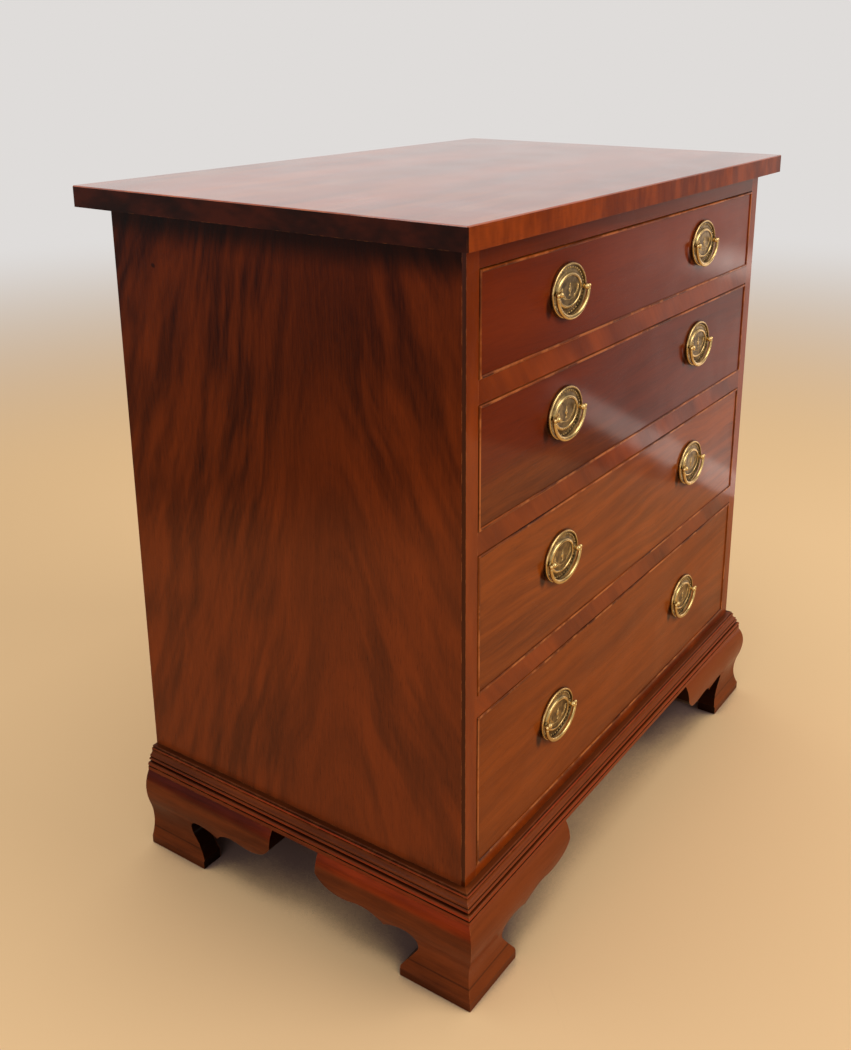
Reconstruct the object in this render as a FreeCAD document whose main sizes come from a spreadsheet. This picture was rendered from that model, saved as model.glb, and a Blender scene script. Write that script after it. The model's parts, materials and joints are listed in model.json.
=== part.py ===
import FreeCAD, Part
import math
import os
from types import SimpleNamespace

import Sketcher
from FreeCAD import Placement, Rotation, Vector

# A bachelors chest: a small chest of four graduated long drawers on ogee bracket feet.
# +X runs to the right seen from the front, the front faces -Y, +Z is up. The origin is on the
# floor, under the centre of the chest's bounding box. All lengths are in millimetres.

DIMENSIONS = {
    # case
    "case_width": 760,
    "case_depth": 486,
    "side_thickness": 21.5,
    "facing_thickness": 5,
    "housing_depth": 6,
    "back_thickness": 12,
    "back_rebate": 11,
    "back_chamfer": 1.5,
    "back_board_count": 3,
    # the stack of boards, rails and drawer openings, from the feet up
    "foot_height": 110,
    "bottom_thickness": 19.5,
    "rail_height": 25,
    "rail_depth": 70,
    "opening_4_height": 186,
    "opening_3_height": 161,
    "opening_2_height": 134,
    "opening_1_height": 109,
    "top_rail_height": 24,
    "rear_rail_depth": 60,
    # top board
    "top_thickness": 24,
    "top_overhang_front": 21.7,
    "top_overhang_side": 30,
    "top_overhang_back": 26,
    "top_arris": 1.2,
    # runners, kickers and stops
    "runner_width": 38,
    "runner_back_gap": 3,
    "stop_length": 40,
    "stop_width": 12,
    "stop_height": 6,
    "stop_spacing": 420,
    "stop_clearance": 0.3,
    # base moulding, from its lower edge up: fillet, big reed, quirk, two reeds, cove, two beads
    "moulding_fillet": 5.4,
    "big_reed": 5.6,
    "moulding_quirk": 1.6,
    "reed_height": 4,
    "cove_height": 5.2,
    "bead_height": 2.6,
    "moulding_reach": 17.5,
    "quirk_reach": 13,
    "reed_step": 1.6,
    "cove_reach": 9.2,
    "cove_depth": 1.1,
    "bead_step": 1.8,
    # ogee bracket feet: the ogee seen from the end, then the scroll cut in the lower edge
    "foot_top_reach": 17.3,
    "foot_bulge": 24,
    "bulge_height": 86,
    "waist_reach": 14.8,
    "waist_height": 36,
    "toe_reach": 20.5,
    "toe_band": 10,
    "bracket_inset": 8,
    "bracket_length": 217,
    "toe_length": 96,
    "toe_height": 13,
    "ankle_centre": 90,
    "ankle_height": 49,
    "ankle_radius": 17,
    "cusp_distance": 121,
    "cusp_height": 55.5,
    "crest_distance": 149,
    "crest_height": 70,
    "dip_distance": 180,
    "dip_height": 65.5,
    "wing_tip_height": 86,
    "back_bracket_thickness": 20,
    "back_bracket_length": 140,
    "back_bracket_toe": 50,
    "back_bracket_wing": 34,
    "corner_block": 40,
    "block_floor_gap": 3,
    "wing_block": 22,
    "wing_block_length": 110,
    # drawers
    "drawer_back_gap": 22,
    "drawer_side_gap": 1,
    "drawer_top_gap": 1.2,
    "drawer_lift": 0.3,
    "front_recess": 0.4,
    "front_thickness": 19,
    "drawer_side_thickness": 10,
    "drawer_side_drop": 1.5,
    "drawer_back_thickness": 10,
    "drawer_back_drop": 12,
    "panel_thickness": 6,
    "panel_height": 10,
    "panel_groove": 5,
    "cockbead_thickness": 3.2,
    "cockbead_depth": 10,
    "cockbead_proud": 1.6,
    "cockbead_chamfer": 0.9,
    # dovetails
    "tail_count_1": 3,
    "tail_count_2": 3,
    "tail_count_3": 4,
    "tail_count_4": 5,
    "pin_narrow": 5,
    "pin_wide": 8.5,
    # handles
    "handle_spacing": 368.8,
    "handle_1_height": 59,
    "handle_2_height": 81,
    "handle_3_height": 95,
    "handle_4_height": 100,
    "plate_half_width": 37,
    "plate_half_height": 30,
    "plate_drop": 0.7,
    "plate_rim_height": 3.6,
    "plate_rim_width": 2.6,
    "plate_floor": 1.2,
    "ring_half_width": 28.2,
    "ring_half_height": 19.8,
    "ring_height": 4,
    "ring_chamfer": 1.5,
    "medal_half_width": 22,
    "medal_half_height": 15.4,
    "medal_depth": 1,
    "post_spacing": 56.4,
    "post_stem_radius": 1.95,
    "post_head_radius": 3.4,
    "post_head_chamfer": 1.1,
    "post_reach": 7.6,
    "post_fit": 0.1,
    "nut_width": 9,
    "nut_thickness": 3.5,
    "pivot_radius": 1.2,
    "pivot_fit": 0.08,
    "pivot_length": 3,
    "bail_half_width": 34.6,
    "bail_drop": 29,
    "bail_end_radius": 1.7,
    "bail_middle_radius": 2.6,
    "bail_thickness": 4.2,
    "bail_chamfer": 1.1,
    "bail_knob_radius": 2.5,
}

DRAWERS = (1, 2, 3, 4)
# The small brass parts have flats in place of round surfaces.
TURNED_SIDES = 8
STEM_SIDES = 6
OVAL_SIDES = 16
BOW_ANGLES = (-67.5, -45, -22.5, 0, 22.5, 45, 67.5)


class Size:
    """A length together with the spreadsheet formula that gives it."""

    def __init__(self, value, formula):
        self.value = float(value)
        self.formula = formula

    @staticmethod
    def of(number):
        return number if isinstance(number, Size) else Size(number, f"({number})")

    def __add__(self, other):
        other = Size.of(other)
        return Size(self.value + other.value, f"({self.formula} + {other.formula})")

    def __sub__(self, other):
        other = Size.of(other)
        return Size(self.value - other.value, f"({self.formula} - {other.formula})")

    def __mul__(self, other):
        other = Size.of(other)
        return Size(self.value * other.value, f"({self.formula} * {other.formula})")

    def __truediv__(self, other):
        other = Size.of(other)
        return Size(self.value / other.value, f"({self.formula} / {other.formula})")

    def __neg__(self):
        return self * -1

    def root(self):
        return Size(math.sqrt(self.value), f"sqrt({self.formula})")

    def sine(self, angle):
        """This length times the sine of an angle in degrees."""
        return Size(self.value * math.sin(math.radians(angle)), f"({self.formula} * sin({angle}))")

    def cosine(self, angle):
        return Size(self.value * math.cos(math.radians(angle)), f"({self.formula} * cos({angle}))")

    __radd__ = __add__
    __rmul__ = __mul__

    def __rsub__(self, other):
        return Size.of(other) - self


document = FreeCAD.newDocument("bachelors_chest")
sheet = document.addObject("Spreadsheet::Sheet", "Dimensions")
for row, (alias, number) in enumerate(DIMENSIONS.items(), start=1):
    sheet.set(f"A{row}", alias)
    sheet.set(f"B{row}", str(number))
    sheet.setAlias(f"B{row}", alias)
document.recompute()
d = SimpleNamespace(**{alias: Size(sheet.get(alias), f"Dimensions.{alias}") for alias in DIMENSIONS})

nodes = []


# ---------------------------------------------------------------- drawing and building helpers


def bind(owner, **sizes):
    """Tie each named property of the owner to a size's formula."""
    for name, size in sizes.items():
        owner.setExpression(name, Size.of(size).formula)


def place(owner, x, y, z, turn=0):
    """Put the owner at a point, turned about the vertical by a number of degrees."""
    x, y, z = Size.of(x), Size.of(y), Size.of(z)
    owner.Placement = Placement(Vector(x.value, y.value, z.value), Rotation(Vector(0, 0, 1), turn))
    for axis, size in (("x", x), ("y", y), ("z", z)):
        owner.setExpression(f"Placement.Base.{axis}", size.formula)


def new_body(label):
    body = document.addObject("PartDesign::Body", label)
    body.Label = label
    return body


def new_sketch(body, plane, offset=0):
    """A sketch on one of the body's own origin planes, moved along the plane's normal."""
    sketch = body.newObject("Sketcher::SketchObject", f"{body.Name}_sketch")
    support = next(part for part in body.Origin.OriginFeatures if part.Role == plane)
    sketch.AttachmentSupport = (support, [""])
    sketch.MapMode = "FlatFace"
    offset = Size.of(offset)
    sketch.AttachmentOffset = Placement(Vector(0, 0, offset.value), Rotation())
    sketch.setExpression("AttachmentOffset.Base.z", offset.formula)
    return sketch


def fix_point(sketch, geometry, point, x, y):
    """Fix a point of the sketch at the formulas x and y."""
    for kind, axis, size in (("DistanceX", -2, x), ("DistanceY", -1, y)):
        if not isinstance(size, Size) and size == 0:
            sketch.addConstraint(Sketcher.Constraint("PointOnObject", geometry, point, axis))
        else:
            size = Size.of(size)
            index = sketch.addConstraint(Sketcher.Constraint(kind, geometry, point, size.value))
            sketch.setExpression(f"Constraints[{index}]", size.formula)


def fix_measure(sketch, kind, geometry, size):
    index = sketch.addConstraint(Sketcher.Constraint(kind, geometry, size.value))
    sketch.setExpression(f"Constraints[{index}]", size.formula)


def draw(sketch, corners, closed=True):
    """Lines and arcs from corner to corner.

    A corner is (x, y) at the end of a line, or (x, y, radius, turn) at the end of an arc
    that turns left (1) or right (-1) on its way there.
    """
    points = [Vector(Size.of(corner[0]).value, Size.of(corner[1]).value, 0) for corner in corners]
    ends = []
    for index, corner in enumerate(corners):
        if index == 0 and not closed:
            continue
        start, end = points[index - 1], points[index]
        if len(corner) == 2:
            geometry = sketch.addGeometry(Part.LineSegment(start, end))
            first, last = 1, 2
        else:
            radius, turn = Size.of(corner[2]), corner[3]
            chord = end - start
            height = math.sqrt(max(radius.value ** 2 - chord.Length ** 2 / 4, 0))
            side = Vector(-chord.y, chord.x, 0).normalize() * turn
            centre = (start + end) * 0.5 + side * height
            begin, finish = (start, end) if turn > 0 else (end, start)
            angles = [math.atan2(point.y - centre.y, point.x - centre.x) for point in (begin, finish)]
            circle = Part.Circle(centre, Vector(0, 0, 1), radius.value)
            geometry = sketch.addGeometry(Part.ArcOfCircle(circle, *angles))
            first, last = (1, 2) if turn > 0 else (2, 1)
            fix_measure(sketch, "Radius", geometry, radius)
        ends.append((geometry, first, last, corner))
    for index, (geometry, first, last, corner) in enumerate(ends):
        fix_point(sketch, geometry, last, corner[0], corner[1])
        if index > 0 or closed:
            previous = ends[index - 1]
            link = Sketcher.Constraint("Coincident", previous[0], previous[2], geometry, first)
            sketch.addConstraint(link)
    if not closed:
        fix_point(sketch, ends[0][0], ends[0][1], corners[0][0], corners[0][1])


def draw_rectangle(sketch, x_low, y_low, x_high, y_high):
    draw(sketch, [(x_low, y_low), (x_high, y_low), (x_high, y_high), (x_low, y_high)])


def draw_facets(sketch, x, y, half_width, half_height, sides):
    """A many-sided outline about a point, with its corners on an oval."""
    step = 360 / sides
    angles = [step * (index + 0.5) for index in range(sides)]
    draw(sketch, [(half_width.cosine(angle) + x, half_height.sine(angle) + y) for angle in angles])


def draw_flats(sketch, x, y, radius, sides):
    """A regular outline with its flats at that radius."""
    corner = radius / Size(1, "1").cosine(180 / sides)
    draw_facets(sketch, x, y, corner, corner, sides)


def draw_oval(sketch, half_width, half_height):
    draw_facets(sketch, 0, 0, half_width, half_height, OVAL_SIDES)


def pad(body, sketch, length, backward=False):
    feature = body.newObject("PartDesign::Pad", f"{body.Name}_pad")
    feature.Profile = sketch
    feature.Reversed = backward
    bind(feature, Length=length)
    return feature


def pocket(body, sketch, depth=None, forward=False):
    """Cut a sketch out of the body, against the sketch's normal or forward along it."""
    feature = body.newObject("PartDesign::Pocket", f"{body.Name}_pocket")
    feature.Profile = sketch
    feature.Reversed = forward
    if depth is None:
        feature.Type = "ThroughAll"
    else:
        bind(feature, Length=depth)
    return feature


def repeat_upward(body, feature, pitch, count):
    """Repeat a feature up its sketch's vertical axis, so that there are count of it."""
    pattern = body.newObject("PartDesign::LinearPattern", f"{body.Name}_pattern")
    pattern.Originals = [feature]
    pattern.Direction = (feature.Profile[0], ["V_Axis"])
    bind(pattern, Length=pitch * (count - 1), Occurrences=count)
    body.Tip = pattern
    return pattern


def chamfer_edges(body, size, wanted):
    """Chamfer the edges of the body's last feature that the test asks for."""
    document.recompute()
    base = body.Tip
    names = [f"Edge{n}" for n, edge in enumerate(base.Shape.Edges, start=1) if wanted(edge)]
    chamfer = body.newObject("PartDesign::Chamfer", f"{body.Name}_chamfer")
    chamfer.Base = (base, names)
    bind(chamfer, Size=size)
    return chamfer


def board(label, low, high):
    """A plain board between its lowest and its highest corner."""
    box = document.addObject("Part::Box", label)
    box.Label = label
    length, width, height = (Size.of(top) - bottom for bottom, top in zip(low, high))
    bind(box, Length=length, Width=width, Height=height)
    place(box, *low)
    return box


def node(piece):
    """Keep a piece as a sub-part of its own."""
    nodes.append(piece)
    return piece


def node_of(label, pieces):
    """Keep like pieces as one sub-part of separate solids."""
    group = document.addObject("Part::Compound", label)
    group.Label = label
    group.Links = pieces
    return node(group)


def radius_over(run, rise):
    """The radius of an arc that leaves level, and rises that much over that run."""
    return (run * run + rise * rise) / (rise * 2)


# ---------------------------------------------------------------- places that the pieces share

case_half = d.case_width / 2
inner_half = case_half - d.side_thickness
housed_half = inner_half + d.housing_depth
case_front = d.foot_bulge - (d.case_depth + d.foot_bulge + d.top_overhang_back) / 2
case_back = case_front + d.case_depth
back_face = case_back - d.back_thickness

opening_height = {number: getattr(d, f"opening_{number}_height") for number in DRAWERS}
opening_floor = {}
level = d.foot_height + d.bottom_thickness
for number in reversed(DRAWERS):
    opening_floor[number] = level + d.rail_height
    level = opening_floor[number] + opening_height[number]
top_rail_floor = level
case_top = top_rail_floor + d.top_rail_height
case_height = case_top - d.foot_height


# ---------------------------------------------------------------- case


def make_top():
    body = new_body("top_board")
    sketch = new_sketch(body, "XY_Plane")
    half = case_half + d.top_overhang_side
    draw_rectangle(sketch, -half, -d.top_overhang_front, half, d.case_depth + d.top_overhang_back)
    pad(body, sketch, d.top_thickness)
    underside = 0.5
    chamfer_edges(body, d.top_arris, lambda edge: edge.BoundBox.ZMax > underside)
    place(body, 0, case_front, case_top)
    node(body)


def make_side(label, hand):
    """A side board, housed for the rails and runners and rebated for the back."""
    body = new_body(label)
    blank = new_sketch(body, "YZ_Plane")
    draw_rectangle(blank, d.facing_thickness, 0, d.case_depth, case_height)
    pad(body, blank, d.side_thickness, backward=hand < 0)
    housings = new_sketch(body, "YZ_Plane")
    housing_end = d.case_depth - d.back_thickness
    levels = [(0, d.bottom_thickness + d.rail_height)]
    for number in (3, 2, 1):
        level = opening_floor[number] - d.foot_height
        levels.append((level - d.rail_height, level))
    levels.append((top_rail_floor - d.foot_height, case_height))
    for low, high in levels:
        draw_rectangle(housings, d.facing_thickness, low, housing_end, high)
    pocket(body, housings, d.housing_depth, forward=hand > 0)
    rebate = new_sketch(body, "YZ_Plane")
    draw_rectangle(rebate, housing_end, 0, d.case_depth, case_height)
    pocket(body, rebate, d.back_rebate, forward=hand > 0)
    place(body, inner_half * hand, case_front, d.foot_height)
    node(body)


def make_facings():
    """The strips that cover the front edges of the sides."""
    strips = []
    for word, low in (("left", -case_half), ("right", inner_half)):
        start = (low, case_front, d.foot_height)
        end = (low + d.side_thickness, case_front + d.facing_thickness, case_top)
        strips.append(board(f"facing_{word}", start, end))
    node_of("facing_strips", strips)


def housed_board(label, depth, thickness, level):
    """A board across the case, flush with the front, whose ends enter the sides' housings."""
    body = new_body(label)
    sketch = new_sketch(body, "XY_Plane")
    shoulder = d.facing_thickness
    draw(sketch, [(-inner_half, 0), (inner_half, 0), (inner_half, shoulder), (housed_half, shoulder),
                  (housed_half, depth), (-housed_half, depth), (-housed_half, shoulder),
                  (-inner_half, shoulder)])
    pad(body, sketch, thickness)
    place(body, 0, case_front, level)
    return body


def make_rails():
    node(housed_board("bottom_board", d.case_depth - d.back_thickness, d.bottom_thickness, d.foot_height))
    node(housed_board("top_rail", d.rail_depth, d.top_rail_height, top_rail_floor))
    rails = []
    for number in DRAWERS:
        level = opening_floor[number] - d.rail_height
        rails.append(housed_board(f"drawer_rail_{number}", d.rail_depth, d.rail_height, level))
    node_of("drawer_rails", rails)
    start = (-housed_half, back_face - d.rear_rail_depth, top_rail_floor)
    node(board("rear_top_rail", start, (housed_half, back_face, case_top)))


def make_runners():
    """Runners level with the rails under each drawer, and kickers above the top drawer."""
    runners = []
    kickers = []
    front = case_front + d.rail_depth
    for word, low in (("left", -housed_half), ("right", housed_half - d.runner_width)):
        high = low + d.runner_width
        for number in DRAWERS:
            start = (low, front, opening_floor[number] - d.rail_height)
            end = (high, back_face - d.runner_back_gap, opening_floor[number])
            runners.append(board(f"runner_{number}_{word}", start, end))
        start = (low, front, top_rail_floor)
        end = (high, back_face - d.rear_rail_depth, case_top)
        kickers.append(board(f"kicker_{word}", start, end))
    node_of("drawer_runners", runners)
    node_of("drawer_kickers", kickers)


def make_stops():
    """Two small blocks on each drawer rail, just behind the closed drawer's front."""
    stops = []
    front = case_front + d.front_recess + d.front_thickness + d.stop_clearance
    for number in DRAWERS:
        for word, middle in (("left", -d.stop_spacing / 2), ("right", d.stop_spacing / 2)):
            start = (middle - d.stop_length / 2, front, opening_floor[number])
            end = (middle + d.stop_length / 2, front + d.stop_width, opening_floor[number] + d.stop_height)
            stops.append(board(f"stop_{number}_{word}", start, end))
    node_of("drawer_stops", stops)


def make_back():
    """Level boards in the rebates of the sides, each with its outer edges chamfered."""
    count = int(d.back_board_count.value)
    height = case_height / d.back_board_count
    boards = []
    for index in range(count):
        body = new_body(f"back_board_{index + 1}")
        sketch = new_sketch(body, "YZ_Plane", -(inner_half + d.back_rebate))
        flat = d.back_thickness - d.back_chamfer
        draw(sketch, [(0, 0), (flat, 0), (d.back_thickness, d.back_chamfer),
                      (d.back_thickness, height - d.back_chamfer), (flat, height), (0, height)])
        pad(body, sketch, (inner_half + d.back_rebate) * 2)
        place(body, 0, back_face, d.foot_height + height * index)
        boards.append(body)
    node_of("back_boards", boards)


# ---------------------------------------------------------------- base moulding and feet


def moulding_corners():
    """The moulding's section: y is 0 on the case and negative outwards, z is 0 at the lower edge."""
    reach = d.moulding_reach - d.reed_step
    height = d.moulding_fillet
    corners = [(0, 0), (-d.moulding_reach, 0), (-d.moulding_reach, height), (-reach, height)]

    def reed(tall, swell):
        """A convex reed of that height, swelling out from the present reach."""
        nonlocal height
        height = height + tall
        half = tall / 2
        corners.append((-reach, height, (half * half + swell * swell) / (swell * 2), -1))

    def bead():
        """A small bead with three flats, swelling out from the present reach."""
        nonlocal height
        corners.append((-reach - swell, height + d.bead_height / 4))
        corners.append((-reach - swell, height + d.bead_height * 3 / 4))
        height = height + d.bead_height
        corners.append((-reach, height))

    reed(d.big_reed, d.reed_step)
    corners.append((-d.quirk_reach + d.reed_step, height))
    height = height + d.moulding_quirk
    reach = d.quirk_reach - d.reed_step
    corners.append((-reach, height))
    reach = d.quirk_reach
    corners.append((-reach, height))
    reed(d.reed_height, d.reed_step)
    reach = reach - d.reed_step
    corners.append((-reach, height))
    reed(d.reed_height, d.reed_step)
    height = height + d.cove_height
    run = reach - d.cove_reach
    chord = d.cove_height * d.cove_height + run * run
    hollow = (chord / 4 + d.cove_depth * d.cove_depth) / (d.cove_depth * 2)
    corners.append((-d.cove_reach, height, hollow, 1))
    swell = d.bead_step / 2
    reach = d.cove_reach - swell
    corners.append((-reach, height))
    bead()
    reach = reach - d.bead_step
    corners.append((-reach, height))
    bead()
    corners.append((0, height))
    return corners


def bracket_corners():
    """The bracket's section, with the ogee on its outer face, from the floor up."""
    middle_reach = (d.foot_bulge + d.waist_reach) / 2
    middle_height = (d.bulge_height + d.waist_height) / 2
    swell = radius_over(d.bulge_height - middle_height, d.foot_bulge - middle_reach)
    return [
        (d.bracket_inset, 0),
        (-d.toe_reach, 0),
        (-d.toe_reach, d.toe_band),
        (-d.waist_reach, d.waist_height, radius_over(d.waist_height - d.toe_band,
                                                     d.toe_reach - d.waist_reach), 1),
        (-middle_reach, middle_height, swell, 1),
        (-d.foot_bulge, d.bulge_height, swell, -1),
        (-d.foot_top_reach, d.foot_height, radius_over(d.foot_height - d.bulge_height,
                                                       d.foot_bulge - d.foot_top_reach), -1),
        (d.bracket_inset, d.foot_height),
    ]


def scroll_corners(offset, hand):
    """The scroll under a bracket. Distances are counted from the foot's outer corner."""

    def along(distance):
        return (distance + offset) * hand

    middle = (d.crest_distance + d.dip_distance) / 2
    middle_height = (d.crest_height + d.dip_height) / 2
    wave = radius_over(middle - d.crest_distance, d.crest_height - middle_height)
    toe_gap = d.ankle_centre - d.toe_length
    toe_fall = d.ankle_height - d.toe_height
    slope = toe_gap * toe_gap + toe_fall * toe_fall
    reach = (slope - d.ankle_radius * d.ankle_radius).root()
    touch_x = d.ankle_centre + (-toe_gap * d.ankle_radius - toe_fall * reach) * d.ankle_radius / slope
    touch_z = d.ankle_height + (-toe_fall * d.ankle_radius + toe_gap * reach) * d.ankle_radius / slope
    return [
        (along(d.bracket_length), 0),
        (along(d.toe_length), 0),
        (along(d.toe_length), d.toe_height),
        (along(touch_x), touch_z),
        (along(d.ankle_centre), d.ankle_height + d.ankle_radius, d.ankle_radius, -hand),
        (along(d.cusp_distance), d.cusp_height,
         radius_over(d.cusp_distance - d.ankle_centre,
                     d.ankle_height + d.ankle_radius - d.cusp_height), -hand),
        (along(d.crest_distance), d.crest_height,
         radius_over(d.crest_distance - d.cusp_distance, d.crest_height - d.cusp_height), -hand),
        (along(middle), middle_height, wave, -hand),
        (along(d.dip_distance), d.dip_height, wave, hand),
        (along(d.bracket_length), d.wing_tip_height,
         radius_over(d.bracket_length - d.dip_distance, d.wing_tip_height - d.dip_height), hand),
    ]


def profiled_run(label, corners, start, end, hand):
    """A length of moulding or bracket stock, with its back on the plane y = 0."""
    body = new_body(label)
    section = new_sketch(body, "YZ_Plane", start * hand)
    draw(section, corners)
    pad(body, section, end - start, backward=hand < 0)
    return body


def mitre(body, corner, reach, hand):
    """Cut the outer end at 45 degrees, through the case's corner."""
    sketch = new_sketch(body, "XY_Plane")
    draw(sketch, [(corner, 0), (corner - reach * hand, -reach), (corner - reach * hand, 0)])
    pocket(body, sketch, forward=True)


def cut_scroll(body, offset, hand):
    sketch = new_sketch(body, "XZ_Plane", d.foot_bulge)
    draw(sketch, scroll_corners(offset, hand))
    pocket(body, sketch)


def make_moulding():
    corners = moulding_corners()
    reach = d.moulding_reach
    front = profiled_run("moulding_front", corners, -reach, d.case_width + reach, 1)
    mitre(front, 0, reach, 1)
    mitre(front, d.case_width, reach, -1)
    place(front, -case_half, case_front, d.foot_height)
    node(front)
    for label, hand in (("moulding_left", -1), ("moulding_right", 1)):
        run = profiled_run(label, corners, -reach, d.case_depth, hand)
        mitre(run, 0, reach, hand)
        place(run, case_half * hand, case_front, d.foot_height, turn=90 * hand)
        node(run)


def front_bracket(label, hand):
    """A bracket with a mitred outer end and a scrolled lower edge."""
    inner_end = d.bracket_length - d.toe_reach
    body = profiled_run(label, bracket_corners(), -d.foot_bulge, inner_end, hand)
    corner_cut = new_sketch(body, "XY_Plane")
    outer, inner = d.foot_bulge, d.bracket_inset
    draw(corner_cut, [(inner * hand, inner), (-outer * hand, -outer), (-outer * hand, inner)])
    pocket(body, corner_cut, forward=True)
    cut_scroll(body, -d.toe_reach, hand)
    return body


def make_front_foot(word, hand):
    face = front_bracket(f"foot_front_{word}_face", -hand)
    place(face, case_half * hand, case_front, 0)
    side = front_bracket(f"foot_front_{word}_side", hand)
    place(side, case_half * hand, case_front, 0, turn=90 * hand)
    node_of(f"foot_front_{word}", [face, side])


def make_back_foot(word, hand):
    """An ogee bracket on the side, and a plain board across the back."""
    side = profiled_run(f"foot_back_{word}_side", bracket_corners(), Size.of(0), d.bracket_length, -hand)
    cut_scroll(side, 0, -hand)
    place(side, case_half * hand, case_back, 0, turn=90 * hand)
    plain = new_body(f"foot_back_{word}_plain")
    sketch = new_sketch(plain, "XZ_Plane")
    rise = d.foot_height - d.back_bracket_wing
    run = d.back_bracket_length - d.back_bracket_toe
    draw(sketch, [(0, 0), (-d.back_bracket_toe * hand, 0),
                  (-d.back_bracket_length * hand, rise, radius_over(run, rise), hand),
                  (-d.back_bracket_length * hand, d.foot_height), (0, d.foot_height)])
    pad(plain, sketch, d.back_bracket_thickness)
    place(plain, (case_half - d.bracket_inset) * hand, case_back, 0)
    node_of(f"foot_back_{word}", [side, plain])


def span(start, length, hand):
    """The low and high ends of a length that runs from start in the hand's direction."""
    end = start + length * hand
    return (start, end) if hand > 0 else (end, start)


def make_foot_blocks():
    """Corner blocks inside the feet, and blocks behind the wings, under the case."""
    blocks = []
    inner_side = case_half - d.bracket_inset
    front_corner = case_front + d.bracket_inset
    back_corner = case_back - d.back_bracket_thickness
    wing_floor = d.foot_height - d.wing_block
    for word, hand in (("left", -1), ("right", 1)):
        for place_word, corner, inward in (("front", front_corner, 1), ("back", back_corner, -1)):
            name = f"block_{place_word}_{word}"
            square_x = span(inner_side * hand, d.corner_block, -hand)
            square_y = span(corner, d.corner_block, inward)
            blocks.append(board(f"{name}_corner", (square_x[0], square_y[0], d.block_floor_gap),
                                (square_x[1], square_y[1], d.foot_height)))
            strip_x = span(inner_side * hand, d.wing_block, -hand)
            strip_y = span(corner + d.corner_block * inward, d.wing_block_length, inward)
            blocks.append(board(f"{name}_side", (strip_x[0], strip_y[0], wing_floor),
                                (strip_x[1], strip_y[1], d.foot_height)))
            across_length = d.wing_block_length
            if inward < 0:
                across_length = d.back_bracket_length - d.corner_block
            strip_x = span((inner_side - d.corner_block) * hand, across_length, -hand)
            strip_y = span(corner, d.wing_block, inward)
            blocks.append(board(f"{name}_across", (strip_x[0], strip_y[0], wing_floor),
                                (strip_x[1], strip_y[1], d.foot_height)))
    node_of("foot_blocks", blocks)


# ---------------------------------------------------------------- drawers

drawer_half = inner_half - d.drawer_side_gap
front_back = d.front_recess + d.front_thickness
tail_length = d.front_thickness - d.cockbead_depth
panel_top = d.panel_height + d.panel_thickness
drawer_length = back_face - d.drawer_back_gap - case_front


def draw_pin(sketch, middle, narrow_end, wide_end, half=0):
    """The gap between two tails, narrow at the tails' tips and wide at their roots.

    half is 0 for a whole pin, 1 for its upper half and -1 for its lower half.
    """
    narrow, wide = d.pin_narrow / 2, d.pin_wide / 2
    low_narrow = middle if half > 0 else middle - narrow
    low_wide = middle if half > 0 else middle - wide
    high_narrow = middle if half < 0 else middle + narrow
    high_wide = middle if half < 0 else middle + wide
    draw(sketch, [(narrow_end, low_narrow), (wide_end, low_wide), (wide_end, high_wide),
                  (narrow_end, high_narrow)])


def cut_pins(body, hand, floor, pitch, tails, tips, roots):
    """Cut the spaces for the pins, and leave the tails, at one end of a drawer side."""
    ends = new_sketch(body, "YZ_Plane", drawer_half * hand)
    draw_pin(ends, Size.of(floor), tips, roots, half=1)
    draw_pin(ends, floor + pitch * tails, tips, roots, half=-1)
    pocket(body, ends, d.drawer_side_thickness, forward=hand < 0)
    inner = new_sketch(body, "YZ_Plane", drawer_half * hand)
    draw_pin(inner, floor + pitch, tips, roots)
    cut = pocket(body, inner, d.drawer_side_thickness, forward=hand < 0)
    repeat_upward(body, cut, pitch, tails - 1)


def cut_tail_sockets(body, floor, pitch, tails, tips, roots):
    """Cut the sockets for the tails out of both ends of a drawer's front or back."""
    narrow, wide = d.pin_narrow / 2, d.pin_wide / 2
    for hand in (-1, 1):
        sketch = new_sketch(body, "YZ_Plane", drawer_half * hand)
        draw(sketch, [(tips, floor + narrow), (roots, floor + wide),
                      (roots, floor + pitch - wide), (tips, floor + pitch - narrow)])
        cut = pocket(body, sketch, d.drawer_side_thickness, forward=hand < 0)
        repeat_upward(body, cut, pitch, tails)


def make_drawer_front(name, height, side_height, tails, handle_level, base):
    body = new_body(f"{name}_front")
    blank = new_sketch(body, "XZ_Plane", -d.front_recess)
    draw_rectangle(blank, -drawer_half, 0, drawer_half, height)
    pad(body, blank, d.front_thickness, backward=True)
    rebate = new_sketch(body, "XZ_Plane", -d.front_recess)
    edge = d.cockbead_thickness
    draw_rectangle(rebate, -drawer_half, 0, drawer_half, height)
    draw_rectangle(rebate, edge - drawer_half, edge, drawer_half - edge, height - edge)
    pocket(body, rebate, d.cockbead_depth)
    pitch = side_height / tails
    cut_tail_sockets(body, 0, pitch, tails, front_back - tail_length, front_back)
    groove = new_sketch(body, "XZ_Plane", -front_back)
    groove_half = drawer_half - d.drawer_side_thickness
    draw_rectangle(groove, -groove_half, d.panel_height, groove_half, panel_top)
    pocket(body, groove, d.panel_groove, forward=True)
    holes = new_sketch(body, "XZ_Plane", -d.front_recess)
    for handle in (-1, 1):
        for post in (-1, 1):
            x = d.handle_spacing / 2 * handle + d.post_spacing / 2 * post
            draw_flats(holes, x, handle_level, d.post_stem_radius + d.post_fit, STEM_SIDES)
    pocket(body, holes)
    place(body, 0, case_front, base)
    node(body)


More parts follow.
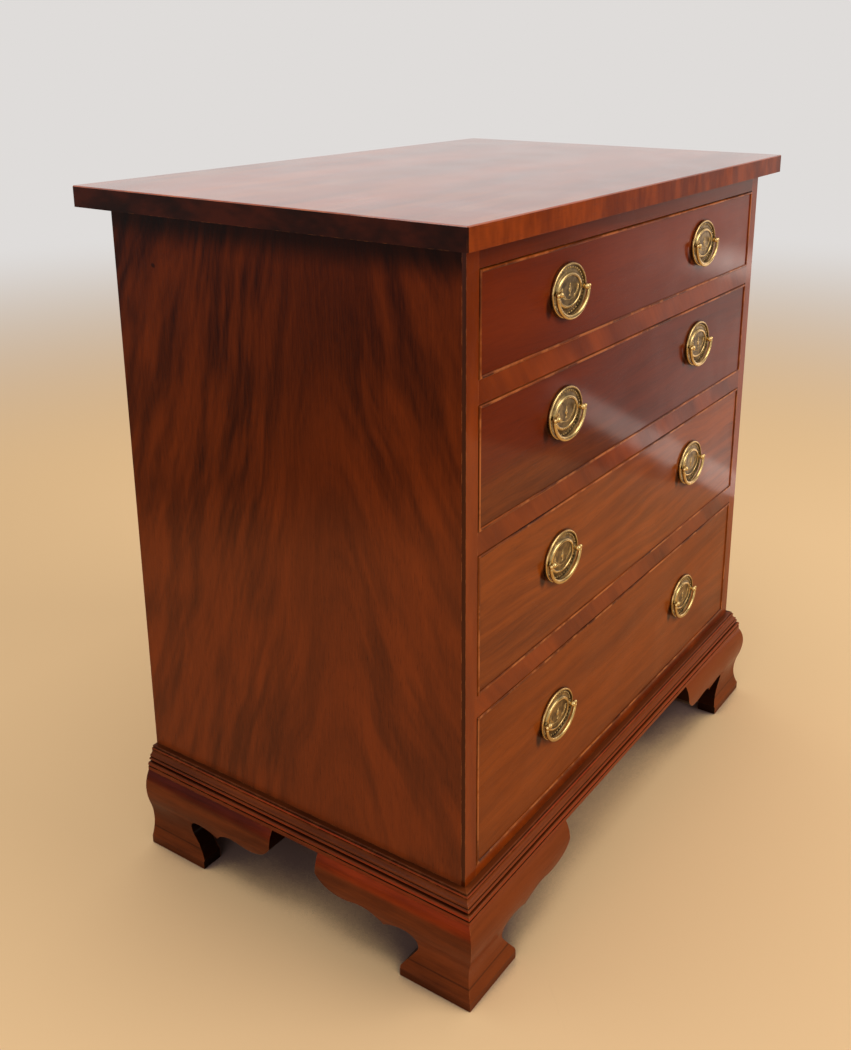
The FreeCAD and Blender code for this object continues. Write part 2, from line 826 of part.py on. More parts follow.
def make_drawer_side(name, word, hand, side_height, back_height, tails, base):
    body = new_body(f"{name}_side_{word}")
    blank = new_sketch(body, "YZ_Plane", drawer_half * hand)
    tips = front_back - tail_length
    draw_rectangle(blank, tips, 0, drawer_length, side_height)
    pad(body, blank, d.drawer_side_thickness, backward=hand > 0)
    cut_pins(body, hand, 0, side_height / tails, tails, tips, front_back)
    roots = drawer_length - d.drawer_back_thickness
    cut_pins(body, hand, panel_top, back_height / tails, tails, drawer_length, roots)
    groove = new_sketch(body, "YZ_Plane", (drawer_half - d.drawer_side_thickness) * hand)
    draw_rectangle(groove, front_back - d.panel_groove, d.panel_height, drawer_length, panel_top)
    pocket(body, groove, d.panel_groove, forward=hand > 0)
    place(body, 0, case_front, base)
    node(body)


def make_drawer_back(name, back_height, tails, base):
    body = new_body(f"{name}_back")
    blank = new_sketch(body, "XZ_Plane", -drawer_length)
    draw_rectangle(blank, -drawer_half, panel_top, drawer_half, panel_top + back_height)
    pad(body, blank, d.drawer_back_thickness)
    roots = drawer_length - d.drawer_back_thickness
    cut_tail_sockets(body, panel_top, back_height / tails, tails, drawer_length, roots)
    place(body, 0, case_front, base)
    node(body)


def make_cockbead(name, height, base):
    """Four mitred strips let into the edges of the front, with chamfered noses."""
    thick = d.cockbead_thickness
    half = drawer_half
    inner = half - thick
    outlines = {
        "top": [(-half, height), (-inner, height - thick), (inner, height - thick), (half, height)],
        "bottom": [(-half, 0), (half, 0), (inner, thick), (-inner, thick)],
        "left": [(-half, 0), (-inner, thick), (-inner, height - thick), (-half, height)],
        "right": [(half, 0), (half, height), (inner, height - thick), (inner, thick)],
    }
    nose = d.front_recess - d.cockbead_proud
    strips = []
    for word, corners in outlines.items():
        body = new_body(f"{name}_cockbead_{word}")
        sketch = new_sketch(body, "XZ_Plane", -nose)
        draw(sketch, corners)
        pad(body, sketch, d.cockbead_proud + d.cockbead_depth, backward=True)
        limit = nose.value + d.cockbead_proud.value / 2
        long_edge = thick.value * 2
        chamfer_edges(body, d.cockbead_chamfer,
                      lambda edge: edge.BoundBox.YMax < limit and edge.Length > long_edge)
        place(body, 0, case_front, base)
        strips.append(body)
    node_of(f"{name}_cockbead", strips)


def make_drawer(number):
    name = f"drawer_{number}"
    base = opening_floor[number] + d.drawer_lift
    height = opening_height[number] - d.drawer_lift - d.drawer_top_gap
    side_height = height - d.drawer_side_drop
    back_height = side_height - d.drawer_back_drop - panel_top
    tails = getattr(d, f"tail_count_{number}")
    handle_level = getattr(d, f"handle_{number}_height") - d.drawer_lift
    make_drawer_front(name, height, side_height, tails, handle_level, base)
    for word, hand in (("left", -1), ("right", 1)):
        make_drawer_side(name, word, hand, side_height, back_height, tails, base)
    make_drawer_back(name, back_height, tails, base)
    panel_half = drawer_half - d.drawer_side_thickness + d.panel_groove
    start = (-panel_half, case_front + front_back - d.panel_groove, base + d.panel_height)
    end = (panel_half, case_front + drawer_length, base + panel_top)
    node(board(f"{name}_bottom", start, end))
    make_cockbead(name, height, base)
    make_handles(name, base + handle_level)


# ---------------------------------------------------------------- handles

face = case_front + d.front_recess


def make_plate(label, x, z):
    """A stamped oval plate: raised rim, sunk channel, and a bevelled ring about a flat medallion.

    Its middle hangs a little below the line of the posts.
    """
    body = new_body(label)

    def oval(level, half_width, half_height):
        sketch = new_sketch(body, "XZ_Plane", level)
        draw_oval(sketch, half_width, half_height)
        return sketch

    pad(body, oval(0, d.plate_half_width, d.plate_half_height), d.plate_floor)
    pad(body, oval(0, d.ring_half_width, d.ring_half_height), d.ring_height)
    level = (d.plate_floor.value + d.ring_height.value) / 2
    chamfer_edges(body, d.ring_chamfer, lambda edge: edge.BoundBox.YMax < -level)
    pocket(body, oval(d.ring_height, d.medal_half_width, d.medal_half_height), d.medal_depth)
    rim = oval(0, d.plate_half_width, d.plate_half_height)
    draw_oval(rim, d.plate_half_width - d.plate_rim_width, d.plate_half_height - d.plate_rim_width)
    pad(body, rim, d.plate_rim_height)
    holes = new_sketch(body, "XZ_Plane", d.ring_height)
    for post in (-1, 1):
        bore = d.post_stem_radius + d.post_fit
        draw_flats(holes, d.post_spacing / 2 * post, d.plate_drop, bore, STEM_SIDES)
    pocket(body, holes)
    place(body, x, face, z - d.plate_drop)
    return body


def make_post(label, x, z, hand):
    """A post with a ball-like head, drilled from its outer side for the bail's pivot."""
    body = new_body(label)
    head = d.post_head_radius
    ball = new_sketch(body, "XZ_Plane", d.post_reach - head)
    draw_flats(ball, 0, 0, head, TURNED_SIDES)
    pad(body, ball, head * 2)
    flat = 0.01
    chamfer_edges(body, d.post_head_chamfer, lambda edge: edge.BoundBox.YLength < flat)
    stem = new_sketch(body, "XZ_Plane", -(d.front_thickness + d.nut_thickness))
    draw_flats(stem, 0, 0, d.post_stem_radius, STEM_SIDES)
    pad(body, stem, d.front_thickness + d.nut_thickness + d.post_reach - head)
    bore = new_sketch(body, "YZ_Plane", head * hand)
    draw_flats(bore, -d.post_reach, 0, d.pivot_radius + d.pivot_fit, TURNED_SIDES)
    pocket(body, bore, d.pivot_length + d.pivot_fit, forward=hand < 0)
    place(body, x + d.post_spacing / 2 * hand, face, z)
    return body


def make_nut(label, x, z):
    body = new_body(label)
    sketch = new_sketch(body, "XZ_Plane")
    half = d.nut_width / 2
    draw_rectangle(sketch, -half, -half, half, half)
    draw_flats(sketch, 0, 0, d.post_stem_radius, STEM_SIDES)
    pad(body, sketch, d.nut_thickness, backward=True)
    place(body, x, face + d.front_thickness, z)
    return body


def bow_edge(side):
    """One edge of the bow, its outer one for 1 and inner one for -1, from left to right.

    The bow's middle line is half an oval, and each point is given by its slope there.
    """
    edge = []
    for angle in BOW_ANGLES:
        across, down = d.bail_half_width.sine(angle), d.bail_drop.cosine(angle)
        slant = (across * across + down * down).root()
        radius = d.bail_end_radius + (d.bail_middle_radius - d.bail_end_radius).cosine(angle)
        edge.append((d.bail_half_width * across / slant + radius.sine(angle) * side,
                     -d.bail_drop * down / slant - radius.cosine(angle) * side))
    return edge


def knob_edge(hand):
    """The outline of the knob at one end of the bow, from its outer neck over to its inner one."""
    neck, knob = d.bail_end_radius, d.bail_knob_radius
    flat = knob * math.tan(math.radians(180 / TURNED_SIDES))
    steps = [(neck, -knob), (knob, -flat), (knob, flat), (flat, knob),
             (-flat, knob), (-knob, flat), (-knob, -flat), (-neck, -knob)]
    return [((d.bail_half_width + out) * hand, up) for out, up in steps]


def make_bail(label, x, z):
    """A drop bail, thickest at the bottom, with a knob and a pivot pin at each end.

    Its own origin is the middle of the line through the pivots.
    """
    body = new_body(label)
    bow = new_sketch(body, "XZ_Plane", -d.bail_thickness / 2)
    right_knob, left_knob = knob_edge(1), knob_edge(-1)
    draw(bow, bow_edge(1) + right_knob + bow_edge(-1)[::-1] + left_knob[::-1])
    pad(body, bow, d.bail_thickness)
    flat = 0.01
    chamfer_edges(body, d.bail_chamfer, lambda edge: edge.BoundBox.YLength < flat)
    tip = d.post_spacing / 2 + d.post_head_radius - d.pivot_length
    for hand in (-1, 1):
        pin = new_sketch(body, "YZ_Plane", tip * hand)
        draw_facets(pin, 0, 0, d.pivot_radius, d.pivot_radius, TURNED_SIDES)
        pad(body, pin, d.bail_half_width - tip, backward=hand < 0)
    place(body, x, face - d.post_reach, z)
    return body


def make_handles(name, z):
    plates = []
    fixings = []
    for word, hand in (("left", -1), ("right", 1)):
        x = d.handle_spacing / 2 * hand
        plates.append(make_plate(f"{name}_plate_{word}", x, z))
        for post_word, post in (("left", -1), ("right", 1)):
            label = f"{name}_{word}_post_{post_word}"
            fixings.append(make_post(label, x, z, post))
            fixings.append(make_nut(f"{label}_nut", x + d.post_spacing / 2 * post, z))
        node(make_bail(f"{name}_bail_{word}", x, z))
    node_of(f"{name}_handle_plates", plates)
    node_of(f"{name}_handle_posts", fixings)


# ---------------------------------------------------------------- the whole chest


def check_document():
    """Stop if any object failed, any sub-part is unsound, or a cut removed nothing."""
    for item in document.Objects:
        if any(state in ("Invalid", "Error") for state in item.State):
            raise RuntimeError(f"{item.Name} could not be computed")
        if item.TypeId == "PartDesign::Pocket":
            if item.Shape.Volume >= item.BaseFeature.Shape.Volume:
                raise RuntimeError(f"{item.Name} cuts nothing")
    for piece in nodes:
        if piece.Shape.isNull() or not piece.Shape.isValid():
            raise RuntimeError(f"{piece.Label} is not a sound solid")


make_top()
make_side("side_left", -1)
make_side("side_right", 1)
make_facings()
make_rails()
make_runners()
make_stops()
make_back()
make_moulding()
for foot_word, foot_hand in (("left", -1), ("right", 1)):
    make_front_foot(foot_word, foot_hand)
    make_back_foot(foot_word, foot_hand)
make_foot_blocks()
for drawer_number in DRAWERS:
    make_drawer(drawer_number)

document.recompute()
check_document()
os.makedirs("parts", exist_ok=True)
for piece in nodes:
    piece.Shape.exportStep(os.path.join("parts", f"{piece.Label}.step"))
print(len(nodes), "sub-parts written")
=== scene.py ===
"""Finishes, brass handles and a studio for a mahogany bachelors chest.

The chest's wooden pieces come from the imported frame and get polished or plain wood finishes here.
The handles are modelled in full: stamped oval plates, turned posts with their nuts, and drop bails.
"""

import json
import math

import bmesh
import bpy
from mathutils import Color, Matrix, Vector


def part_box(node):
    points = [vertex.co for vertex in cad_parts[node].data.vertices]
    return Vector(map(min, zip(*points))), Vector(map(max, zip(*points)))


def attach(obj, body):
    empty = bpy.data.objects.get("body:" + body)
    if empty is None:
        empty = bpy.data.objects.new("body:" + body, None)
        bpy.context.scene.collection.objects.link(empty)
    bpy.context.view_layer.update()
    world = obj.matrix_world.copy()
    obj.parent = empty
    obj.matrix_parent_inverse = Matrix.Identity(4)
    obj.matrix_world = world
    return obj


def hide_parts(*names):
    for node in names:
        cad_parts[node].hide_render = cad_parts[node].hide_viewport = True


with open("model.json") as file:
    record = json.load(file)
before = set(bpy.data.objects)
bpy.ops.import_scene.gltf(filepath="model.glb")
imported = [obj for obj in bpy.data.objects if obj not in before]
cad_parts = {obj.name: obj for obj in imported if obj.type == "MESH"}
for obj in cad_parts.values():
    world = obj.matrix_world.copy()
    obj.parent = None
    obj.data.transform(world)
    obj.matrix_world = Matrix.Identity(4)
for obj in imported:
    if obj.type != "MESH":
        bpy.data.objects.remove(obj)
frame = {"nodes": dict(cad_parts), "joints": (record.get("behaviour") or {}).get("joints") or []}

bl_info = {
    "name": "Bachelors Chest Finishes",
    "version": (1, 0, 0),
    "blender": (4, 5, 0),
    "location": "View3D > Sidebar > Chest",
    "description": "Polished mahogany, brass drop handles and a plain studio for a bachelors chest",
    "category": "Object",
}

DRAWERS = (1, 2, 3, 4)
HANDS = {"left": -1, "right": 1}
MM = 0.001


def shade(red, green, blue):
    """A display colour, 0 to 255, as the scene-linear colour that Blender works in."""
    def linear(level):
        level /= 255
        return level / 12.92 if level <= 0.04045 else ((level + 0.055) / 1.055) ** 2.4
    return linear(red), linear(green), linear(blue)


def colour(name, description, red, green, blue):
    """A colour setting, its default given as a display colour."""
    return bpy.props.FloatVectorProperty(name=name, description=description, subtype="COLOR",
                                         size=3, min=0, max=1, default=shade(red, green, blue))


def setting(name, description, default, **more):
    """A number setting."""
    return bpy.props.FloatProperty(name=name, description=description, default=default, **more)


def size(name, description, millimetres):
    """A length setting, its default given in millimetres."""
    return setting(name, description, millimetres * MM, subtype="DISTANCE", unit="LENGTH", min=0)


def share(name, description, default):
    """A setting from 0 to 1."""
    return setting(name, description, default, subtype="FACTOR", min=0, max=1)


def power(name, description, watts):
    """The power of a lamp."""
    return setting(name, description, watts, subtype="POWER", unit="POWER", min=0)


def angle(name, description, degrees):
    """An angle setting, its default given in degrees."""
    return setting(name, description, math.radians(degrees), subtype="ANGLE", unit="ROTATION")


class ChestPolishSettings(bpy.types.PropertyGroup):
    """Colours and gloss of the mahogany and of the plain woods inside."""

    side_dark: colour("Side, dark", "Dark streaks of the side boards' feather figure", 42, 9, 3)
    side_light: colour("Side, light", "Light wood between those streaks", 120, 48, 12)
    top_dark: colour("Top, dark", "Dark streaks of the top board", 112, 44, 22)
    top_light: colour("Top, light", "Light streaks of the top board", 178, 86, 48)
    upper_dark: colour("Upper fronts, dark", "Dark wood of the two upper drawer fronts", 72, 18, 3)
    upper_light: colour("Upper fronts, light", "Light wood of the two upper drawer fronts", 120, 42, 6)
    # The lower fronts' browner colours are partly a painted reflection of the floor.
    lower_dark: colour("Lower fronts, dark", "Dark ribbons of the two lower drawer fronts", 84, 32, 6)
    lower_light: colour("Lower fronts, light", "Light ribbons of the two lower drawer fronts", 146, 68, 14)
    band_dark: colour("Banding, dark", "Dark patches of the cross-banded edges and rails", 84, 26, 4)
    band_light: colour("Banding, light", "Light patches of the cross-banded edges and rails", 146, 62, 12)
    base_dark: colour("Base, dark", "Dark wood of the base moulding and feet", 66, 28, 12)
    base_light: colour("Base, light", "Light wood of the base moulding and feet", 124, 58, 24)
    # The crest colour is partly rubbed wood and partly a painted highlight.
    crest: colour("Worn crest", "Red wood on the rubbed crests of the reeds", 160, 52, 22)
    worn: colour("Worn arris", "Wood that shows where the polish has rubbed through", 196, 116, 60)
    oak_dark: colour("Oak, dark", "Dark grain of the oak drawer linings", 118, 84, 52)
    oak_light: colour("Oak, light", "Light grain of the oak drawer linings", 168, 130, 88)
    pine_dark: colour("Pine, dark", "Dark grain of the pine inside and behind", 112, 76, 44)
    pine_light: colour("Pine, light", "Light grain of the pine inside and behind", 164, 124, 82)
    gloss: share("Gloss", "Weight of the French polish on the fronts and rails", 0.26)
    base_gloss: share("Base gloss", "Weight of the French polish on the base", 0.09)
    side_gloss: share("Side gloss", "Weight of the French polish on the side boards", 0.08)
    top_gloss: share("Top gloss", "Weight of the French polish on the top board", 1.0)
    haze: share("Haze", "Roughness of the French polish", 0.09)


class ChestHandleSettings(bpy.types.PropertyGroup):
    """Sizes and colours of the brass handles."""

    plate_half_width: size("Plate half width", "From the plate's middle to its side", 37)
    plate_half_height: size("Plate half height", "From the plate's middle to its top", 30)
    plate_drop: size("Plate drop", "How far the plate's middle hangs under the line of the posts", 0.7)
    rim_width: size("Rim width", "Width of the raised rim", 2.6)
    rim_height: size("Rim height", "Rim's crest over the drawer front", 3.6)
    channel_height: size("Channel height", "Bottom of the sunk channel over the drawer front", 1.2)
    ring_half_width: size("Ring half width", "From the plate's middle to the ring's outer foot", 28.2)
    ring_half_height: size("Ring half height", "The same, upwards", 19.8)
    ring_height: size("Ring height", "Ring's crest over the drawer front", 4)
    medal_half_width: size("Medallion half width", "From the plate's middle to the ring's inner foot", 22)
    medal_half_height: size("Medallion half height", "The same, upwards", 15.4)
    medal_depth: size("Medallion depth", "How far the medallion lies under the ring's crest", 1)
    post_spacing: size("Post spacing", "Between the middles of a handle's two posts", 56.4)
    post_stem: size("Post stem", "Radius of a post's stem", 1.95)
    post_head: size("Post head", "Radius of a post's head", 3.4)
    nut_width: size("Nut width", "Across the flats of the square nut", 9)
    nut_thickness: size("Nut thickness", "Thickness of the square nut", 3.5)
    bail_half_width: size("Bail half width", "From the bail's middle to its end", 34.6)
    bail_drop: size("Bail drop", "From the pivots down to the bow's middle line", 28.6)
    bail_end: size("Bail end", "Radius of the bow at its ends", 1.7)
    bail_middle: size("Bail middle", "Radius of the bow at its middle", 3.0)
    bail_flatness: size("Bail flatness", "Greatest radius of the bow towards the drawer", 2.1)
    knob: size("Knob", "Radius of the knob at each end of the bow", 2.5)
    pin: size("Pin", "Radius of the pin that turns in the post", 1.15)
    pin_length: size("Pin length", "How far the pin reaches into the post", 3)
    bright: colour("Brass, bright", "Rubbed high spots of the brass", 206, 174, 114)
    dull: colour("Brass, dull", "Aged brass in the hollows", 66, 50, 34)


class ChestStudioSettings(bpy.types.PropertyGroup):
    """Floor, background, lamps and camera."""

    floor: colour("Floor", "Colour of the plain floor", 234, 197, 149)
    # The card's glow and bands are painted reflections, seen only in gloss.
    glow: setting("Glow", "Strength of the card's glow, which only gloss shows", 1.5, min=0)
    band: setting("Bands", "Strength of the card's two bright bands", 3.4, min=0)
    near: size("Near floor", "How far from the chest the floor keeps its own colour", 1400)
    far: size("Far floor", "Where the floor has turned into the background", 5200)
    background: colour("Background", "Colour of the plain background", 223, 220, 218)
    ambient: setting("Ambient light", "Strength of the light from all round", 0.42, min=0)
    key: power("Key lamp", "Power of the large lamp in front", 78)
    fill: power("Fill lamp", "Power of the large lamp at the left", 34)
    overhead: power("Overhead lamp", "Power of the lamp above", 52)
    camera_place: bpy.props.FloatVectorProperty(name="Camera place", description="Where the camera stands",
                                                subtype="TRANSLATION", unit="LENGTH", size=3,
                                                default=(-1.2439, -0.8179, 1.0203))
    camera_tilt: angle("Camera tilt", "From straight down", 73.3)
    camera_roll: angle("Camera roll", "Turn about the line of sight", -0.1)
    camera_turn: angle("Camera turn", "Turn about the upright axis", -56.3)
    lens: setting("Lens", "Focal length in millimetres on a 36 mm sensor", 39.27, min=1,
                  subtype="DISTANCE_CAMERA")
    shift_across: setting("Shift across", "Sideways shift of the lens", -0.0374)
    shift_up: setting("Shift up", "Upward shift of the lens", -0.131)


class Signal:
    """The output of a shader node. Arithmetic and methods add nodes that work on it."""

    def __init__(self, finish, socket):
        self.finish = finish
        self.socket = socket

    def __add__(self, other):
        return self.finish.math("ADD", self, other)

    def __sub__(self, other):
        return self.finish.math("SUBTRACT", self, other)

    def __mul__(self, other):
        return self.finish.math("MULTIPLY", self, other)

    def __truediv__(self, other):
        return self.finish.math("DIVIDE", self, other)

    def __abs__(self):
        return self.finish.math("ABSOLUTE", self)

    def sign(self):
        return self.finish.math("SIGN", self)

    def root(self):
        return self.finish.math("SQRT", self)

    def most(self, other):
        return self.finish.math("MAXIMUM", self, other)

    def axes(self):
        return [Signal(self.finish, socket) for socket in self.finish.node("SeparateXYZ", self).outputs]

    def length(self):
        return self.finish.read("VectorMath", "Value", self, operation="LENGTH")

    def span(self, low, high, start=0.0, end=1.0):
        """The value's rise from low to high, smoothed, as a number from start to end."""
        return self.finish.read("MapRange", 0, self, low, high, start, end, interpolation_type="SMOOTHSTEP")

    def line(self, centre, half_width, strength=1.0):
        """The strength where the value is at the centre, fading to 0 at twice the half width."""
        return abs(self - centre).span(2 * half_width, 0.0, 0.0, strength)

    def lines(self, table):
        """The strongest of some lines, each given as (centre, half width, strength) in millimetres."""
        strongest = 0.0
        for centre, half_width, strength in table:
            line = self.line(centre * MM, half_width * MM, strength)
            strongest = self.finish.math("MAXIMUM", strongest, line)
        return strongest

    def noise(self, scale, detail=2.0, roughness=0.5):
        made = self.finish.node("TexNoise", noise_dimensions="3D")
        self.finish.fill(made, Vector=self, Scale=scale, Detail=detail, Roughness=roughness)
        return self.finish.output(made, "Fac")

    def mapped(self, scales, offsets):
        return self.finish.read("Mapping", 0, self, offsets, (0, 0, 0), scales)

    def stretched(self, scales, detail=2.0, roughness=0.5, offset=0.0):
        """Noise whose grain per metre differs along the three axes."""
        return self.mapped(scales, (offset, offset, offset)).noise(1.0, detail, roughness)

    def figure(self, scales, low, high, start=0.0, end=1.0, **noise):
        """Stretched noise, spread so that low gives the start and high gives the end."""
        return self.stretched(scales, **noise).span(low, high, start, end)

    def mix(self, first, second):
        """The first colour where this is 0 and the second where it is 1."""
        return self.finish.blend(self, first, second)

    def tinted(self, tint):
        """This colour multiplied by another."""
        return self.finish.blend(1.0, self, tint, "MULTIPLY")

    def darkened(self, share):
        """This colour multiplied by a share from 0 to 1."""
        return self.tinted(self.finish.vector(share, share, share))


class Finish:
    """A material under construction. Most methods add nodes and give their output as a Signal."""

    def __init__(self, name):
        self.material = bpy.data.materials.new(name)
        self.material.use_nodes = True
        self.tree = self.material.node_tree
        self.shader = self.tree.nodes["Principled BSDF"]
        self.place = self.read("TexCoord", "Object")

    def node(self, kind, *values, **settings):
        """A shader node with these settings, its sockets filled in order from the values."""
        made = self.tree.nodes.new("ShaderNode" + kind)
        for name, value in settings.items():
            setattr(made, name, value)
        for socket, value in zip(made.inputs, values):
            self.feed(socket, value)
        return made

    def feed(self, socket, value):
        if isinstance(value, Signal):
            self.tree.links.new(value.socket, socket)
        else:
            socket.default_value = value

    def feed_colour(self, socket, value):
        """Feeds a socket, with a colour of three levels made opaque."""
        self.feed(socket, (*value, 1.0) if isinstance(value, (tuple, Color)) else value)

    def fill(self, node, **values):
        """Feeds the node's sockets by name, with underscores for blanks."""
        for name, value in values.items():
            self.feed_colour(node.inputs[name.replace("_", " ")], value)
        return node

    def output(self, node, name):
        return Signal(self, node.outputs[name])

    def read(self, kind, name, *values, **settings):
        """One output of a new node."""
        return self.output(self.node(kind, *values, **settings), name)

    def math(self, operation, *values):
        return self.read("Math", 0, *values, operation=operation)

    def vector(self, x, y, z):
        return self.read("CombineXYZ", 0, x, y, z)

    def blend(self, factor, first, second, mode="MIX"):
        made = self.node("Mix", data_type="RGBA", blend_type=mode)
        self.feed(made.inputs[0], factor)
        self.feed_colour(made.inputs[6], first)
        self.feed_colour(made.inputs[7], second)
        return self.output(made, 2)

    def along(self, axis, offset=0.0):
        """The place on a board as (along the grain, across it, through it), shifted along it."""
        x, y, z = self.place.axes()
        first, second, third = {"X": (x, z, y), "Y": (y, z, x), "Z": (z, y, x)}[axis]
        return self.vector(first + offset, second, third)

    def hollows(self, distance, alone=True, samples=4):
        """1 on open faces, falling towards 0 in the piece's own hollows, or near other pieces too."""
        made = self.node("AmbientOcclusion", samples=samples, only_local=alone)
        return self.output(self.fill(made, Distance=distance), "AO")

    def arrises(self, radius):
        """0 on flat faces, rising towards 1 at the sharp edges."""
        rounded, true = self.read("Bevel", 0, radius, samples=4), self.read("NewGeometry", "Normal")
        alike = self.read("VectorMath", "Value", rounded, true, operation="DOT_PRODUCT")
        return alike.span(0.995, 0.80)

    def bump(self, height, depth):
        """A bumpy normal for a height from 0 to 1 that stands for this depth in metres."""
        made = self.fill(self.node("Bump"), Height=height, Distance=depth, Strength=1.0)
        self.surface(Normal=self.output(made, 0))

    def surface(self, **values):
        """Feeds the sockets of the material's own shader."""
        self.fill(self.shader, **values)


# Scene-linear colours of small things, in place of a setting each.
PORE_TINT = (0.30, 0.24, 0.22)
# The red of the painted reflection on the lower part of the side boards.
SHEEN_RED = (0.52, 0.22, 0.10)
TOP_GLOW = (0.90, 0.33, 0.10)
END_GRAIN = ((0.010, 0.0022, 0.0012), (0.046, 0.0075, 0.003))
# The colour of the painted shadow beside each handle.
HANDLE_SHADOW = (0.018, 0.0015, 0.001)
# Painted shade with grime in the grooves of the base.
SHADE_AND_GRIME = (0.010, 0.005, 0.003)
# Painted shade and painted light on the feet's tops, behind and in front.
CAP_LIGHT_AND_SHADE = ((0.42, 0.16, 0.32), (1.9, 1.0, 0.5))
OAK_RAY = (0.62, 0.46, 0.27)
PINE_KNOT = (0.10, 0.045, 0.02)
BRASS_SPECK = (0.05, 0.035, 0.02)
FLOOR_SHADE = (0.18, 0.115, 0.10)


# Noise with more and harder detail than usual.
CRISP = {"detail": 3.0, "roughness": 0.6}


def polish(finish, base, grain, gloss, haze, pore=0.5, wear=0.5, depth=0.22, contact=0.0, ior=1.5):
    """French polish over a wood colour: painted shade in the hollows, worn arrises, pores and a glassy coat.

    The depth is how much of the colour the painted shade in the hollows keeps, and contact is how far
    away from the wood the handles and the other pieces cast a soft painted shade on it. The pores are short
    dark dashes.
    """
    settings = bpy.context.scene.chest_polish
    dashes = grain.figure((70, 1500, 1500), 0.56, 0.72)
    dashes = dashes * grain.figure((6, 60, 60), 0.35, 0.65, 0.45, 1.0) * pore
    wood = dashes.mix(base, base.tinted(PORE_TINT))
    # Painted shade: the wood is darkened in its own hollows.
    wood = wood.darkened(finish.hollows(7 * MM).span(0.35, 0.95, depth, 1.0))
    if contact:
        # Painted shade: the wood is darkened near the handles and the other pieces.
        near = finish.hollows(contact, alone=False, samples=8)
        wood = wood.darkened(near.span(0.30, 0.92, 0.8 * depth, 1.0))
    rubbed = finish.place.noise(90.0, 3.0).span(0.46, 0.62)
    wood = (finish.arrises(0.9 * MM) * rubbed * wear).mix(wood, settings.worn)
    finish.bump(dashes * -1.0, 0.12 * MM)
    cloud = finish.place.noise(14.0).span(0.3, 0.7, 0.28, 0.42)
    finish.surface(Base_Color=wood, Roughness=cloud, Specular_IOR_Level=0.03, Coat_Weight=gloss,
                   Coat_Roughness=haze, Coat_IOR=ior)
    return finish.material


# The feather figure of the sides: where its calm middle line lies from the front (0) to the back (1),
# how far that line wanders in metres, and how blunt the feather's ribs are where they cross it.
FEATHER_MIDDLE, FEATHER_DRIFT, FEATHER_BLUNT = 0.38, 0.08, 0.0012
# The painted shade under the top's overhang, from where it begins to where it is darkest.
OVERHANG_SHADE = (44 * MM, 12 * MM)


def feather_wood():
    """Side boards: soft dark streaks that fan out downwards from a calm middle line, like a feather.
    Lower down they carry a painted reflection of the floor, and under the top a painted shade.
    """
    settings = bpy.context.scene.chest_polish
    finish = Finish("side_mahogany")
    x, y, z = finish.place.axes()
    low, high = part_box("side_left")
    middle = low.y + (high.y - low.y) * FEATHER_MIDDLE
    drift = (finish.place.stretched((3, 5, 3.4)) - 0.5) * FEATHER_DRIFT
    across = y - middle + drift
    spread = (across * across + FEATHER_BLUNT).root()
    rise = spread.root() * across.span(-0.05, 0.05, 0.95, 1.5)
    feather = finish.vector(z - spread * 0.6, z * 0.55 + rise, x * 0.2)
    streaks = feather.figure((7, 26, 8), 0.34, 0.66)
    broad = feather.figure((2.4, 8, 4), 0.32, 0.70)
    small = feather.figure((12, 62, 16), 0.34, 0.66, offset=0.4)
    calm = abs(across).span(0.01, 0.09, 0.3, 1.0)
    streaks = (streaks + small * 0.35 - 0.78) * calm
    grain = finish.along("Z")
    fine = grain.figure((48, 620, 200), 0.30, 0.70, detail=3.0, roughness=0.65)
    thread = grain.figure((12, 260, 90), 0.32, 0.68)
    tone = streaks * 0.36 + broad * 0.15 + fine * 0.13 + thread * 0.08
    # Painted reflection: below a slanting line the side is lighter and redder, as if the polish mirrored the
    # floor.
    floor_sheen = (z + y * 0.25 + drift * 0.6).span(0.57, 0.45)
    # Lighter towards the bottom, a painted reflection of the floor, and a little lighter towards the front.
    lighter = z.span(0.84, 0.30, 0.15, 0.30) + y.span(0.0, -0.24, 0.0, 0.10)
    tone = tone + (lighter + floor_sheen * 0.10)
    wood = tone.mix(settings.side_dark, settings.side_light)
    wood = (floor_sheen * 0.05).mix(wood, SHEEN_RED)
    begins, darkest = (high.z - depth for depth in OVERHANG_SHADE)
    nicks = finish.place.noise(21.0, 1.0).span(0.765, 0.785, 1.0, 0.25)
    # Painted shade under the top's overhang, together with a few small dark nicks.
    wood = wood.darkened(z.span(begins, darkest, 1.0, 0.2) * nicks)
    return polish(finish, wood, grain, settings.side_gloss, settings.haze, pore=0.6)


# How strong each drawer front's ribbons are, and how light its wood is.
FRONT_RIBBONS = {1: 0.12, 2: 0.18, 3: 0.36, 4: 0.22}
FRONT_TONES = {1: 0.64, 2: 0.38, 3: 0.54, 4: 0.54}
# Drawer 2 is browner below a line, a painted reflection: the line's fall per metre, its height at the
# middle, and its top.
REFLECTION_EDGE_FALL, REFLECTION_EDGE_HEIGHT, REFLECTION_EDGE_TOP = -0.52, 0.555, 0.606
# The painted shadow beside each plate, with the handle's dark reflection: its place from the bail's pivot,
# and its half width and height.
HANDLE_SHADOW_PLACE, HANDLE_SHADOW_SIZE = (-39 * MM, -13 * MM), (7 * MM, 13 * MM)


